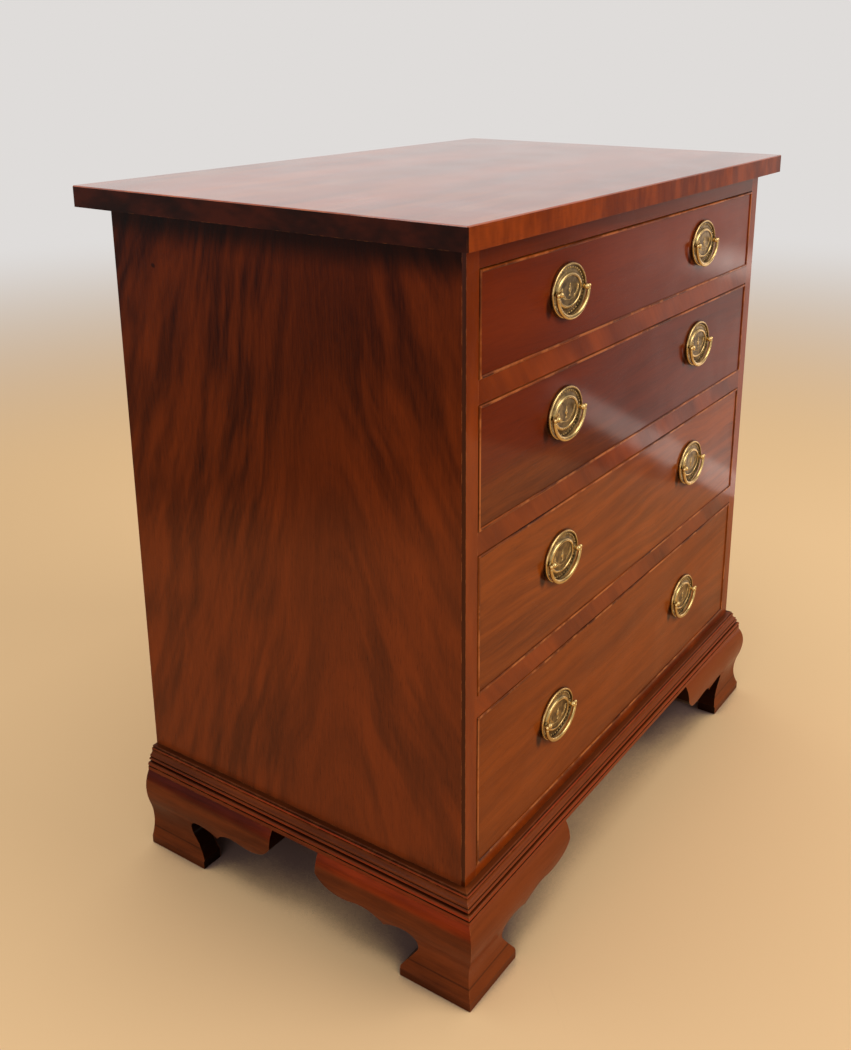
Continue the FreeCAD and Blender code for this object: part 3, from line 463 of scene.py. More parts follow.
def front_wood(number):
    """A drawer front: the upper two plain and red, the lower two browner, partly a painted reflection of the
    floor, with long soft ribbons.

    The second one turns browner at its lower left, a painted reflection. A painted shadow, with the handle's
    dark reflection, lies at the lower left of each handle's plate.
    """
    settings = bpy.context.scene.chest_polish
    finish = Finish(f"front_mahogany_{number}")
    upper, lower = (settings.upper_dark, settings.upper_light), (settings.lower_dark, settings.lower_light)
    straight = finish.along("X", 1.7 * number)
    first, second, third = straight.axes()
    bend = straight.stretched((2.6, 6, 3), offset=number)
    grain = finish.vector(first, second + bend * 0.06, third)
    ribbons = grain.figure((4.5, 84, 20), 0.34, 0.68, detail=2.5, roughness=0.6, offset=number)
    broad = grain.figure((2.2, 14, 5), 0.34, 0.66, offset=number)
    fine = grain.figure((30, 520, 90), 0.30, 0.70, **CRISP)
    tone = (ribbons - 0.5) * FRONT_RIBBONS[number] + (broad - 0.5) * 0.30 + (fine - 0.5) * 0.16
    tone = tone + FRONT_TONES[number]
    # The lower two fronts take the browner colours, partly a painted reflection of the floor.
    wood = tone.mix(*(lower if number > 2 else upper))
    x, _, z = finish.place.axes()
    # Painted reflection: drawer 2 is browner below a slanting line.
    if number == 2:
        over = z - finish.math("MINIMUM", x * REFLECTION_EDGE_FALL + REFLECTION_EDGE_HEIGHT, REFLECTION_EDGE_TOP)
        browner = (tone - 0.16).mix(*lower)
        wood = over.span(14 * MM, -22 * MM).mix(wood, browner)
    # Painted shadow and dark reflection at the lower left of each plate.
    for word in HANDS:
        pivot = pivots(number, word)
        aside = (x - (pivot.x + HANDLE_SHADOW_PLACE[0])) / HANDLE_SHADOW_SIZE[0]
        under = (z - (pivot.z + HANDLE_SHADOW_PLACE[1])) / HANDLE_SHADOW_SIZE[1]
        away = finish.vector(aside, 0.0, under).length()
        wood = away.span(1.3, 0.5, 0.0, 0.9).mix(wood, HANDLE_SHADOW)
    gloss = settings.gloss * (0.75 if number == 4 else 1.0)
    return polish(finish, wood, grain, gloss, settings.haze, contact=16 * MM)


def facing_wood():
    """Facing strips: plain upright grain, with painted shade on their outer faces."""
    settings = bpy.context.scene.chest_polish
    finish = Finish("facing_mahogany")
    grain = finish.along("Z", 0.3)
    wide = grain.figure((3.5, 90, 20), 0.34, 0.66, 0.30, 0.66)
    fine = grain.figure((20, 420, 90), 0.30, 0.70, 0.0, 0.16, **CRISP)
    wood = (wide + fine).mix(settings.band_dark, settings.band_light)
    # Painted shade: the faces that look sideways are darkened.
    outward = abs(finish.read("TexCoord", "Normal").axes()[0])
    wood = wood.darkened(outward.span(0.4, 0.9, 1.0, 0.25))
    return polish(finish, wood, grain, settings.gloss, settings.haze)


def banded_wood(name, dark, light, patch=(13, 3, 9), line=(110, 20, 14), offset=0.0):
    """Rails: soft patches and fine lines, on wood that is lighter to the left.

    The patch and the line are their noise's grain per metre along the three axes.
    """
    settings = bpy.context.scene.chest_polish
    finish = Finish(name)
    x, y, z = finish.place.axes()
    leaning = finish.vector(x + z * 0.8, y, z)
    patches = leaning.figure(patch, 0.34, 0.66, offset=offset)
    fine = leaning.figure(line, 0.34, 0.66, offset=offset)
    tone = patches * 0.46 + fine * 0.12 + x.span(0.2, -0.3, 0.06, 0.24)
    wood = tone.mix(dark, light)
    return polish(finish, wood, finish.along("Z", offset), settings.gloss, settings.haze)


def top_wood():
    """The top board: a calm face with a few glowing patches, and cross-banding on its edges."""
    settings = bpy.context.scene.chest_polish
    finish = Finish("top_mahogany")
    place, x = finish.place, finish.place.axes()[0]
    wide = place.figure((2, 12, 6), 0.30, 0.72, detail=3.0, roughness=0.55)
    narrow = place.figure((9, 110, 40), 0.3, 0.7, **CRISP)
    upper = (wide * 0.56 + narrow * 0.34).mix(settings.top_dark, settings.top_light)
    glow = place.figure((4, 26, 6), 0.46, 0.66, **CRISP, offset=0.2)
    upper = (glow * x.span(0.05, -0.25, 0.0, 0.15)).mix(upper, TOP_GLOW)
    blocks = place.figure((26, 3, 9), 0.38, 0.62, detail=3.0, roughness=0.7)
    fine = place.figure((120, 20, 9), 0.34, 0.66)
    tone = blocks * 0.50 + fine * 0.12 + x.span(0.1, -0.4, 0.12, 0.34)
    edge = tone.mix(settings.band_dark, settings.band_light)
    mottle = place.figure((9, 14, 30), 0.34, 0.70, **CRISP)
    sideways, _, upwards = finish.read("TexCoord", "Normal").axes()
    edge = abs(sideways).span(0.4, 0.6).mix(edge, mottle.mix(*END_GRAIN))
    wood = upwards.span(0.4, 0.6).mix(edge, upper)
    gloss = upwards.span(0.4, 0.6, settings.side_gloss, settings.top_gloss)
    return polish(finish, wood, finish.along("X", 0.7), gloss, settings.haze, pore=0.4, wear=0.35, ior=1.62)


# The moulding's painted lines, as (millimetres over its lower edge, half width, strength): painted shade
# with grime in the grooves, and crests that are partly rubbed and partly a painted highlight.
GROOVES = ((5.4, 0.55, 0.35), (16.6, 0.5, 0.15), (25.6, 0.6, 0.60), (29.6, 0.9, 0.70))
LIT_AND_RUBBED_CRESTS = ((2.8, 1.6, 0.35), (8.4, 1.2, 0.70), (14.4, 1.0, 0.65), (27.2, 0.8, 1.0))
# The dark line over the feet's toes, likewise, but from the floor up.
TOE_LINES = ((24, 1.0, 0.55),)


def base_wood():
    """Base moulding and feet: calm wood along each run, painted shade with grime in the grooves, and red
    crests that are partly rubbed and partly a painted highlight.

    Along the sides the feet's tops get painted light in front, lighter and redder, and painted shade behind,
    darker. The feet's inner faces get painted shade, nearly black.
    """
    settings = bpy.context.scene.chest_polish
    finish = Finish("base_mahogany")
    x, y, z = finish.place.axes()
    corner, foot_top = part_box("foot_front_left")
    side = finish.math("GREATER_THAN", abs(x) + y, corner.y - corner.x)
    run = side.mix(finish.vector(x, z, y), finish.vector(y, z, x))
    cloud = run.figure((5, 14, 9), 0.30, 0.70, **CRISP)
    narrow = run.figure((14, 190, 150), 0.3, 0.7, **CRISP)
    tone = cloud * 0.50 + narrow * 0.26 + side.span(0.0, 1.0, 0.66, 0.02)
    wood = tone.mix(settings.base_dark, settings.base_light)
    up = z - foot_top.z
    # Painted light and shade on the feet's tops: lighter and redder in front, darker behind.
    cap = up.span(-17 * MM, -9 * MM) * up.span(1 * MM, 0)
    cap = cap * side.span(0.0, 1.0, 0.0, 0.9)
    wood = cap.mix(wood, wood.tinted(y.span(0.12, -0.12).mix(*CAP_LIGHT_AND_SHADE)))
    # Red crests, partly rubbed and partly a painted highlight that grows towards the front.
    patchy = run.figure((11, 40, 40), 0.36, 0.60, 0.35, 1.0, **CRISP)
    patchy = patchy * y.span(0.20, -0.20, 0.45, 1.0)
    wood = (up.lines(LIT_AND_RUBBED_CRESTS) * patchy).mix(wood, settings.crest)
    # Painted shade: the feet's inner faces, under the chest, are made nearly black.
    across, through, _ = finish.read("NewGeometry", "Normal").axes()
    inner_shade = (across * (x * -1.0).sign()).most(through * (y * -1.0).sign())
    inner_shade = inner_shade.span(0.4, 0.7) * up.span(0.0, -1 * MM)
    wood = wood.darkened(inner_shade.span(0.0, 1.0, 1.0, 0.10))
    # Painted shade with grime in the moulding's grooves, and a dark line over the toes.
    shade_and_grime = up.lines(GROOVES).most(z.lines(TOE_LINES))
    wood = shade_and_grime.mix(wood, SHADE_AND_GRIME)
    return polish(finish, wood, run, settings.base_gloss, 0.14, pore=0.4, wear=0.4, depth=0.6,
                  contact=50 * MM)


def cockbead_wood(number):
    """Cockbeads: thin rounded strips whose crests are rubbed bright in dashes."""
    settings = bpy.context.scene.chest_polish
    finish = Finish(f"cockbead_mahogany_{number}")
    low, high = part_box(f"drawer_{number}_cockbead")
    x, y, z = finish.place.axes()
    upright = finish.math("GREATER_THAN", abs(x), high.x - 4 * MM)
    run = upright.mix(finish.vector(x, z, y), finish.vector(z, x, y))
    streaks = run.figure((9, 300, 200), 0.3, 0.7, detail=3.0)
    wood = streaks.mix(settings.base_dark, settings.lower_light)
    dashes = run.figure((22, 6, 6), 0.46, 0.60, detail=4.0, roughness=0.7)
    crest = y.span(low.y + 1.1 * MM, low.y + 0.1 * MM)
    wood = (dashes * (crest * 0.6)).mix(wood, settings.worn)
    return polish(finish, wood, run, settings.gloss, 0.16, pore=0.3)


def plain_wood(name, axis, dark, light, rays=0.0, knots=0.0):
    """Unpolished secondary wood: oak with pale rays, or pine with broad grain and a few knots."""
    finish = Finish(name)
    grain = finish.along(axis)
    first, second, third = grain.axes()
    bend = grain.stretched((2.4, 7, 7)) * 0.06
    bent = finish.vector(first, second + bend, third + bend)
    rings = bent.figure((1.5, 85, 85), 0.36, 0.62)
    fine = bent.figure((9, 600, 600), 0.35, 0.65, detail=3.0)
    wood = (rings * 0.6 + fine * 0.4).mix(dark, light)
    if rays:
        wood = grain.figure((45, 380, 90), 0.60, 0.72, 0.0, rays).mix(wood, OAK_RAY)
    if knots:
        mapped = grain.mapped((5, 9, 2), (0.3, 0.2, 0.1))
        cells = finish.fill(finish.node("TexVoronoi", distance="EUCLIDEAN"), Vector=mapped, Scale=1.0)
        knot = finish.output(cells, "Distance").span(0.13, 0.06, 0.0, knots)
        wood = knot.mix(wood, PINE_KNOT)
    # Random grime, with painted shade in the piece's hollows.
    grime = finish.place.noise(7.0, 4.0, 0.6).span(0.35, 0.7, 0.62, 1.0)
    wood = wood.darkened(grime * finish.hollows(12 * MM).span(0.3, 0.95, 0.45, 1.0))
    finish.bump(fine, 0.15 * MM)
    finish.surface(Base_Color=wood, Roughness=fine.span(0.0, 1.0, 0.72, 0.58), Specular_IOR_Level=0.3)
    return finish.material


def aged_brass():
    """Old brass: bright where the mesh says that it is rubbed, dull and brown in the hollows."""
    settings = bpy.context.scene.chest_handle
    finish = Finish("aged_brass")
    each = finish.read("ObjectInfo", "Random") * 3.0
    place = finish.read("VectorMath", 0, finish.place, finish.vector(each, each, each), operation="ADD")
    rubbed = finish.read("Attribute", "Fac", attribute_name="rubbed")
    cloud = place.noise(130.0, 3.0, 0.6).span(0.32, 0.68, -0.13, 0.10)
    hollow = finish.hollows(1.4 * MM).span(0.30, 1.0, 0.35, 1.0)
    tone = ((rubbed + cloud) * hollow).span(0.05, 0.95)
    brass = tone.mix(settings.dull, settings.bright)
    specks = place.noise(900.0, 2.0).span(0.66, 0.76, 0.0, 0.4)
    brass = specks.mix(brass, BRASS_SPECK)
    finish.bump(place.noise(420.0, 3.0), 0.05 * MM)
    finish.surface(Base_Color=brass, Metallic=1.0, Roughness=tone.span(0.0, 1.0, 0.42, 0.24))
    return finish.material


def dress(material, *nodes):
    """Gives a finish to pieces of the frame."""
    for name in nodes:
        mesh = frame["nodes"][name].data
        mesh.materials.clear()
        mesh.materials.append(material)


def stand(thing):
    """Puts a new object in the scene."""
    bpy.context.scene.collection.objects.link(thing)
    return thing


def new_piece(name, mesh, material, body, place, replaced):
    """An object of this mesh on a body, standing for a node of the frame."""
    piece = stand(bpy.data.objects.new(name, mesh))
    piece.location = place
    if not mesh.materials:
        mesh.materials.append(material)
    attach(piece, body)
    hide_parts(replaced)


def round_turn(count, lead=0.0):
    """The angles of as many equal steps round a full turn."""
    return [2 * math.pi * (step + lead) / count for step in range(count)]


class Relief:
    """A brass mesh in the making, with a value for how rubbed each of its points is."""

    def __init__(self, name):
        self.name = name
        self.mesh = bmesh.new()
        self.rubbed = self.mesh.verts.layers.float.new("rubbed")

    def ring(self, points, rubbed):
        made = []
        for point in points:
            vertex = self.mesh.verts.new(point)
            vertex[self.rubbed] = rubbed
            made.append(vertex)
        return made

    def skin(self, rings):
        """Faces between each ring and the next, all with as many points."""
        for first, second in zip(rings, rings[1:]):
            for index in range(len(first)):
                after = (index + 1) % len(first)
                self.mesh.faces.new((first[index], first[after], second[after], second[index]))

    def cap(self, ring, point, rubbed):
        """Closes a ring with a fan about a point."""
        middle = self.ring([point], rubbed)[0]
        for index, vertex in enumerate(ring):
            self.mesh.faces.new((vertex, ring[(index + 1) % len(ring)], middle))

    def mound(self, place, half_length, half_width, height, angle=0.0, rubbed=0.75):
        """A low oval mound, such as a leaf or a bead, on a face that looks along -Y."""
        matrix = (Matrix.Translation(place) @ Matrix.Rotation(angle, 4, "Y")
                  @ Matrix.Diagonal((half_length, height, half_width, 1))
                  @ Matrix.Rotation(math.pi / 2, 4, "X"))
        made = bmesh.ops.create_uvsphere(self.mesh, u_segments=12, v_segments=6, radius=1, matrix=matrix)
        for vertex in made["verts"]:
            vertex[self.rubbed] = rubbed

    def turned(self, profile, segments, axis="Y"):
        """A turned form from (distance along the axis, radius, rubbed), closed at both ends."""
        def point(distance, first, second):
            return (first, distance, second) if axis == "Y" else (distance, first, second)

        rings = [self.ring([point(distance, radius * math.cos(angle), radius * math.sin(angle))
                            for angle in round_turn(segments)], rubbed)
                 for distance, radius, rubbed in profile]
        self.skin(rings)
        for end in (0, -1):
            distance, _, rubbed = profile[end]
            self.cap(rings[end], point(distance, 0, 0), rubbed)

    def done(self):
        bmesh.ops.recalc_face_normals(self.mesh, faces=self.mesh.faces)
        mesh = bpy.data.meshes.new(self.name)
        self.mesh.to_mesh(mesh)
        self.mesh.free()
        mesh.polygons.foreach_set("use_smooth", [True] * len(mesh.polygons))
        return mesh


def plate_profile(h):
    """The plate from its edge to the medallion, as (half width, half height, height, rubbed)."""
    ring, medal = (h.ring_half_width, h.ring_half_height), (h.medal_half_width, h.medal_half_height)

    def inset(distance):
        return h.plate_half_width - distance, h.plate_half_height - distance

    def station(outer, inner, step, height, rubbed):
        """A station between two ovals, on the outer one at 0 and on the inner one at 1."""
        half_width, half_height = (far + (near - far) * step for far, near in zip(outer, inner))
        return half_width, half_height, height, rubbed

    rim, floor, crest, well = h.rim_height, h.channel_height, h.ring_height, inset(h.rim_width)
    stations = [(*inset(0), 0, 0.7), (*inset(0), rim * 0.45, 0.7)]
    for step in range(9):
        angle = math.pi * step / 8
        stations.append((*inset(h.rim_width / 2 * (1 - math.cos(angle))),
                         rim * 0.7 + rim * 0.3 * math.sin(angle),
                         (0.75 if step < 5 else 0.3) + 0.25 * math.sin(angle)))
    stations.append(station(well, ring, 0.04, rim * 0.45, 0.2))
    for step, depth, rubbed in ((0.14, 0.25, 0.25), (0.35, 0.0, 0.34), (0.6, 0.0, 0.4), (0.85, 0.06, 0.4)):
        stations.append(station(well, ring, step, floor + (rim - floor) * depth, rubbed))
    foot = floor + 0.5 * MM
    stations.append(station(ring, medal, 0.0, foot, 0.35))
    for step in range(1, 9):
        angle = math.pi / 2 * step / 8
        stations.append(station(ring, medal, 0.55 * (1 - math.cos(angle)) + 0.14 * step / 8,
                                foot + (crest - foot) * math.sin(angle), 0.5 + 0.4 * step / 8))
    ground = crest - h.medal_depth
    for step, height, rubbed in ((0.80, crest - 0.15 * MM, 0.8), (0.90, ground, 0.15), (1.0, ground, 0.3)):
        stations.append(station(ring, medal, step, height, rubbed))
    for step in (0.85, 0.6, 0.3):
        stations.append((medal[0] * step, medal[1] * step,
                         crest - h.medal_depth * (0.95 - 0.10 * (1 - step)), 0.34))
    return stations


def build_plate(h):
    """A stamped oval plate whose back lies on the plane y = 0 and whose front looks along -Y."""
    relief = Relief("stamped_plate")
    rings = []
    for half_width, half_height, height, rubbed in plate_profile(h):
        points = [(half_width * math.cos(angle), -height, half_height * math.sin(angle))
                  for angle in round_turn(96)]
        rings.append(relief.ring(points, rubbed))
    relief.skin(rings)
    ground = -(h.ring_height - h.medal_depth)
    relief.cap(rings[-1], (0, ground, 0), 0.34)
    relief.cap(rings[0], (0, 0, 0), 0.2)
    add_beading(relief, h)
    add_urn(relief, ground)
    return relief.done()


BEADS, BEAD_RADIUS = 40, 1.3 * MM
# How far the row of beads lies outside the ring's foot, sideways and upwards.
BEADING_OFFSET = (4.4 * MM, 5.0 * MM)


def add_beading(relief, h):
    """A row of small beads round the channel, at the foot of the ring."""
    half_width, half_height = h.ring_half_width + BEADING_OFFSET[0], h.ring_half_height + BEADING_OFFSET[1]
    for angle in round_turn(BEADS, 0.5):
        place = Vector((half_width * math.cos(angle), -h.channel_height, half_height * math.sin(angle)))
        relief.mound(place, BEAD_RADIUS, BEAD_RADIUS, BEAD_RADIUS * 0.8, rubbed=0.6)


# The urn's mounds as (height on the medallion, half width, half height), in millimetres.
URN = ((1.2, 3.6, 2.5), (3.9, 1.7, 0.8), (5.4, 2.3, 0.8), (7.1, 0.9, 1.3), (-2.2, 1.0, 1.5),
       (-4.1, 2.4, 0.7), (-5.4, 3.1, 0.6))
# Each spray runs along a quarter oval, in millimetres: its start, and its reach sideways and upwards.
SPRAY_START, SPRAY_REACH = (6.0, -7.5), (12.0, 11.5)
LEAF_HEIGHT = 0.45 * MM


def add_urn(relief, ground):
    """The medallion's ornament: an urn between two leafy sprays, over a row of husks."""
    for z, half_width, half_height in URN:
        relief.mound(Vector((0, ground, z * MM)), half_width * MM, half_height * MM, LEAF_HEIGHT * 1.6)
    (start_x, start_z), (reach_x, reach_z) = SPRAY_START, SPRAY_REACH
    for hand in HANDS.values():
        for step in range(8):
            turn = 0.25 + step * 0.17
            x, z = (start_x + reach_x * math.sin(turn)) * hand, start_z + reach_z * (1 - math.cos(turn))
            slope = math.atan2(math.sin(turn) * reach_z, math.cos(turn) * reach_x)
            for angle in (slope - 0.7, slope + 0.7):
                leaf = Vector(((x + 1.5 * math.cos(angle) * hand) * MM, ground,
                               (z + 1.5 * math.sin(angle)) * MM))
                relief.mound(leaf, 1.8 * MM, 0.65 * MM, LEAF_HEIGHT, -angle * hand, 0.7)
    for step in range(-4, 5):
        place = Vector((step * 2.3 * MM, ground, (-9.6 + 0.14 * step * step) * MM))
        relief.mound(place, 0.9 * MM, 0.55 * MM, LEAF_HEIGHT, rubbed=0.7)


def build_post(h, reach, thickness, hand):
    """A turned post with a ball head, its threaded end and square nut behind the drawer front."""
    relief = Relief("turned_post_left" if hand < 0 else "turned_post_right")
    head, stem = h.post_head, h.post_stem
    near, far, neck = thickness, thickness + h.nut_thickness, head - reach
    profile = [(far, stem * 0.8, 0.3), (far - 0.4 * MM, stem, 0.3), (neck + 1.6 * MM, stem, 0.3),
               (neck + 1.2 * MM, stem * 1.45, 0.6), (neck + 0.5 * MM, stem * 1.45, 0.7),
               (neck + 0.2 * MM, stem * 1.15, 0.3)]
    for step in range(1, 12):
        angle = math.pi * step / 12
        if head * math.sin(angle) > stem * 0.9:
            profile.append((-reach + head * math.cos(angle), head * math.sin(angle), 0.9))
    profile += [(-reach - head * 0.90, head * 0.50, 1.0), (-reach - head * 0.98, head * 0.28, 1.0)]
    relief.turned(profile, 24)
    across, soft = h.nut_width / 2, 0.5 * MM
    corners = ((-1, -1), (1, -1), (1, 1), (-1, 1))
    rings = [relief.ring([(half * side, depth, half * up) for side, up in corners], 0.35)
             for depth, half in ((near, across), (far - soft, across), (far, across - soft))]
    relief.skin(rings)
    relief.cap(rings[0], (0, near, 0), 0.3)
    relief.cap(rings[-1], (0, far, 0), 0.35)
    return relief.done()


# The collar near each end of the bow: its middle below the pivots, its half widths at its foot and
# its crest, and its crest's radius as a share of the bow's end.
COLLAR_DROP, COLLAR_FOOT, COLLAR_CREST, COLLAR_SHARE = 3.4 * MM, 0.5 * MM, 0.3 * MM, 1.35


def build_bail(h):
    """A drop bail about its pivot line: a bow with knobs and collars, and pins that reach into the posts."""
    relief = Relief("drop_bail")
    steps, segments = 48, 16
    rings = []
    for step in range(steps + 1):
        angle = math.pi * (step / steps - 0.5)
        across, swell = math.sin(angle), math.cos(angle)
        middle = Vector((h.bail_half_width * across, 0, -h.bail_drop * swell))
        heading = Vector((h.bail_half_width * swell, 0, h.bail_drop * across)).normalized()
        outward = Vector((heading.z, 0, -heading.x))
        radius = h.bail_end + (h.bail_middle - h.bail_end) * swell
        depth = min(radius, h.bail_flatness)
        points = [middle + outward * radius * math.cos(around) + Vector((0, depth * math.sin(around), 0))
                  for around in round_turn(segments)]
        rings.append(relief.ring(points, 0.74 + 0.08 * swell))
    relief.skin(rings)
    tip, lift = h.post_spacing / 2 + h.post_head - h.pin_length, h.bail_end * COLLAR_SHARE
    for ring, hand in ((rings[0], -1), (rings[-1], 1)):
        relief.cap(ring, (h.bail_half_width * hand, 0, 0), 0.7)
        profile = [(tip, h.pin * 0.8, 0.3), (tip + 0.2 * MM, h.pin, 0.3),
                   (h.bail_half_width - 0.97 * h.knob, h.pin, 0.4)]
        for turn in range(1, 10):
            around = math.pi * turn / 10
            back, radius = h.knob * math.cos(around), h.knob * math.sin(around)
            if radius >= h.pin:
                profile.append((h.bail_half_width - back, radius, 0.95))
        relief.turned([(distance * hand, wide, rubbed) for distance, wide, rubbed in profile], 16, axis="X")
        band = [(-COLLAR_DROP - COLLAR_FOOT, h.bail_end), (-COLLAR_DROP - COLLAR_CREST, lift),
                (-COLLAR_DROP + COLLAR_CREST, lift), (-COLLAR_DROP + COLLAR_FOOT, h.bail_end)]
        loops = []
        for level, radius in band:
            middle = h.bail_half_width * hand * (1 - 0.5 * (level / h.bail_drop) ** 2)
            points = [(middle + radius * math.cos(around), radius * math.sin(around), level)
                      for around in round_turn(segments)]
            loops.append(relief.ring(points, 0.85))
        relief.skin(loops)
        for loop, (level, _) in ((loops[0], band[0]), (loops[-1], band[-1])):
            relief.cap(loop, (h.bail_half_width * hand, 0, level), 0.7)
    return relief.done()


def pivots(number, word):
    """The middle of a bail's pivot line, at rest."""
    for joint in frame["joints"]:
        if joint["name"] == f"bail_{number}_{word}_swing":
            return Vector(joint["pos_m"])
    raise RuntimeError(f"drawer {number} has no {word} bail")


class CHEST_OT_polish_sides(bpy.types.Operator):
    """Polish the two side boards with their feather figure"""

    bl_idname = "chest.polish_sides"
    bl_label = "Side boards"

    def execute(self, context):
        dress(feather_wood(), "side_left", "side_right")
        return {"FINISHED"}


class CHEST_OT_polish_top(bpy.types.Operator):
    """Polish the top board and its cross-banded edges"""

    bl_idname = "chest.polish_top"
    bl_label = "Top board"

    def execute(self, context):
        dress(top_wood(), "top_board")
        return {"FINISHED"}


class CHEST_OT_polish_facings(bpy.types.Operator):
    """Polish the facing strips on the front edges of the sides"""

    bl_idname = "chest.polish_facings"
    bl_label = "Facing strips"

    def execute(self, context):
        dress(facing_wood(), "facing_strips")
        return {"FINISHED"}


class CHEST_OT_polish_rails(bpy.types.Operator):
    """Polish the rails between the drawers and under the top"""

    bl_idname = "chest.polish_rails"
    bl_label = "Rails"

    def execute(self, context):
        wood = context.scene.chest_polish
        dress(banded_wood("rail_mahogany", wood.band_dark, wood.band_light), "drawer_rails")
        top_rail = banded_wood("top_rail_mahogany", wood.base_dark, wood.upper_light,
                               (3, 3, 30), (9, 20, 260), 0.4)
        dress(top_rail, "top_rail")
        return {"FINISHED"}


class CHEST_OT_polish_base(bpy.types.Operator):
    """Polish the base moulding and the bracket feet"""

    bl_idname = "chest.polish_base"
    bl_label = "Base moulding and feet"

    def execute(self, context):
        runs = [f"moulding_{side}" for side in ("front", "left", "right")]
        feet = [f"foot_{end}_{side}" for end in ("front", "back") for side in HANDS]
        dress(base_wood(), *runs, *feet)
        return {"FINISHED"}


class CHEST_OT_polish_drawer_fronts(bpy.types.Operator):
    """Polish the four drawer fronts, each with a grain of its own"""

    bl_idname = "chest.polish_drawer_fronts"
    bl_label = "Drawer fronts"

    def execute(self, context):
        for number in DRAWERS:
            dress(front_wood(number), f"drawer_{number}_front")
        return {"FINISHED"}


class CHEST_OT_polish_cockbeads(bpy.types.Operator):
    """Polish the cockbeads round the drawer fronts"""

    bl_idname = "chest.polish_cockbeads"
    bl_label = "Cockbeads"

    def execute(self, context):
        for number in DRAWERS:
            dress(cockbead_wood(number), f"drawer_{number}_cockbead")
        return {"FINISHED"}


class CHEST_OT_finish_drawer_linings(bpy.types.Operator):
    """Give the drawers' sides, backs and bottoms their plain oak"""

    bl_idname = "chest.finish_drawer_linings"
    bl_label = "Drawer linings"

    def execute(self, context):
        wood = context.scene.chest_polish
        lengthways = plain_wood("oak_sides", "Y", wood.oak_dark, wood.oak_light, rays=0.5)
        crossways = plain_wood("oak_backs", "X", wood.oak_dark, wood.oak_light, rays=0.5)
        for number in DRAWERS:
            dress(lengthways, f"drawer_{number}_side_left", f"drawer_{number}_side_right")
            dress(crossways, f"drawer_{number}_back", f"drawer_{number}_bottom")
        dress(crossways, "drawer_stops")
        return {"FINISHED"}


# How much of the pine's colour the blocks under the chest keep, a painted shade.
BLOCK_SHADE = 0.12


class CHEST_OT_finish_carcase(bpy.types.Operator):
    """Give the inner and rear boards and the blocks their plain pine"""

    bl_idname = "chest.finish_carcase"
    bl_label = "Carcase and back"

    def execute(self, context):
        wood = context.scene.chest_polish
        dark, light = wood.pine_dark, wood.pine_light
        dress(plain_wood("pine_across", "X", dark, light, knots=0.8), "rear_top_rail", "bottom_board",
              "back_boards")
        shaded_pine = [tuple(BLOCK_SHADE * level for level in tint) for tint in (dark, light)]
        dress(plain_wood("pine_blocks", "Z", *shaded_pine), "foot_blocks")
        dress(plain_wood("pine_lengthways", "Y", dark, light, knots=0.5), "drawer_runners", "drawer_kickers")
        return {"FINISHED"}


class CHEST_OT_add_plates(bpy.types.Operator):
    """Add the stamped oval plates of the handles"""

    bl_idname = "chest.add_plates"
    bl_label = "Handle plates"

    def execute(self, context):
        handle, brass = context.scene.chest_handle, handle_brass()
        mesh = build_plate(handle)
        for number in DRAWERS:
            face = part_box(f"drawer_{number}_front")[0].y
            for word in HANDS:
                middle = pivots(number, word)
                middle.y = face
                middle.z -= handle.plate_drop
                new_piece(f"plate_{number}_{word}", mesh, brass, f"drawer_{number}", middle,
                          f"drawer_{number}_handle_plates")
        return {"FINISHED"}


class CHEST_OT_add_posts(bpy.types.Operator):
    """Add the turned posts of the handles, with their nuts"""

    bl_idname = "chest.add_posts"
    bl_label = "Handle posts"

    def execute(self, context):
        handle, brass = context.scene.chest_handle, handle_brass()
        low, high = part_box("drawer_1_front")
        reach = low.y - pivots(1, "left").y
        for word, hand in HANDS.items():
            mesh = build_post(handle, reach, high.y - low.y, hand)
            for number in DRAWERS:
                for handle_word in HANDS:
                    place = pivots(number, handle_word) + Vector((handle.post_spacing / 2 * hand, reach, 0))
                    new_piece(f"post_{number}_{handle_word}_{word}", mesh, brass, f"drawer_{number}",
                              place, f"drawer_{number}_handle_posts")
        return {"FINISHED"}


class CHEST_OT_add_bails(bpy.types.Operator):
    """Add the drop bails of the handles"""

    bl_idname = "chest.add_bails"
    bl_label = "Handle bails"

    def execute(self, context):
        mesh, brass = build_bail(context.scene.chest_handle), handle_brass()
        for number in DRAWERS:
            for word in HANDS:
                new_piece(f"bail_{number}_{word}", mesh, brass, f"bail_{number}_{word}",
                          pivots(number, word), f"drawer_{number}_bail_{word}")
        return {"FINISHED"}


def handle_brass():
    """The handles' brass, made once."""
    return bpy.data.materials.get("aged_brass") or aged_brass()


def add_lamp(name, place, target, width, height, power, tint):
    """A large soft lamp that faces a point."""
    data = bpy.data.lights.new(name, "AREA")
    data.shape = "RECTANGLE"
    data.size, data.size_y, data.energy, data.color = width, height, power, tint
    lamp = stand(bpy.data.objects.new(name, data))
    lamp.location = place
    lamp.rotation_euler = (Vector(target) - Vector(place)).to_track_quat("-Z", "Y").to_euler()


def add_sheet(name, corners, finish):
    """A single flat face of the stage."""
    mesh = bpy.data.meshes.new(name)
    mesh.from_pydata(corners, [], [(0, 1, 2, 3)])
    mesh.materials.append(finish.material)
    return stand(bpy.data.objects.new(name, mesh))


# How far away the chest still paints shade on the floor, and the openness at which that painted shade is
# full and ends.
FLOOR_REACH, FLOOR_FULL, FLOOR_ENDS = 0.17, 0.42, 0.57


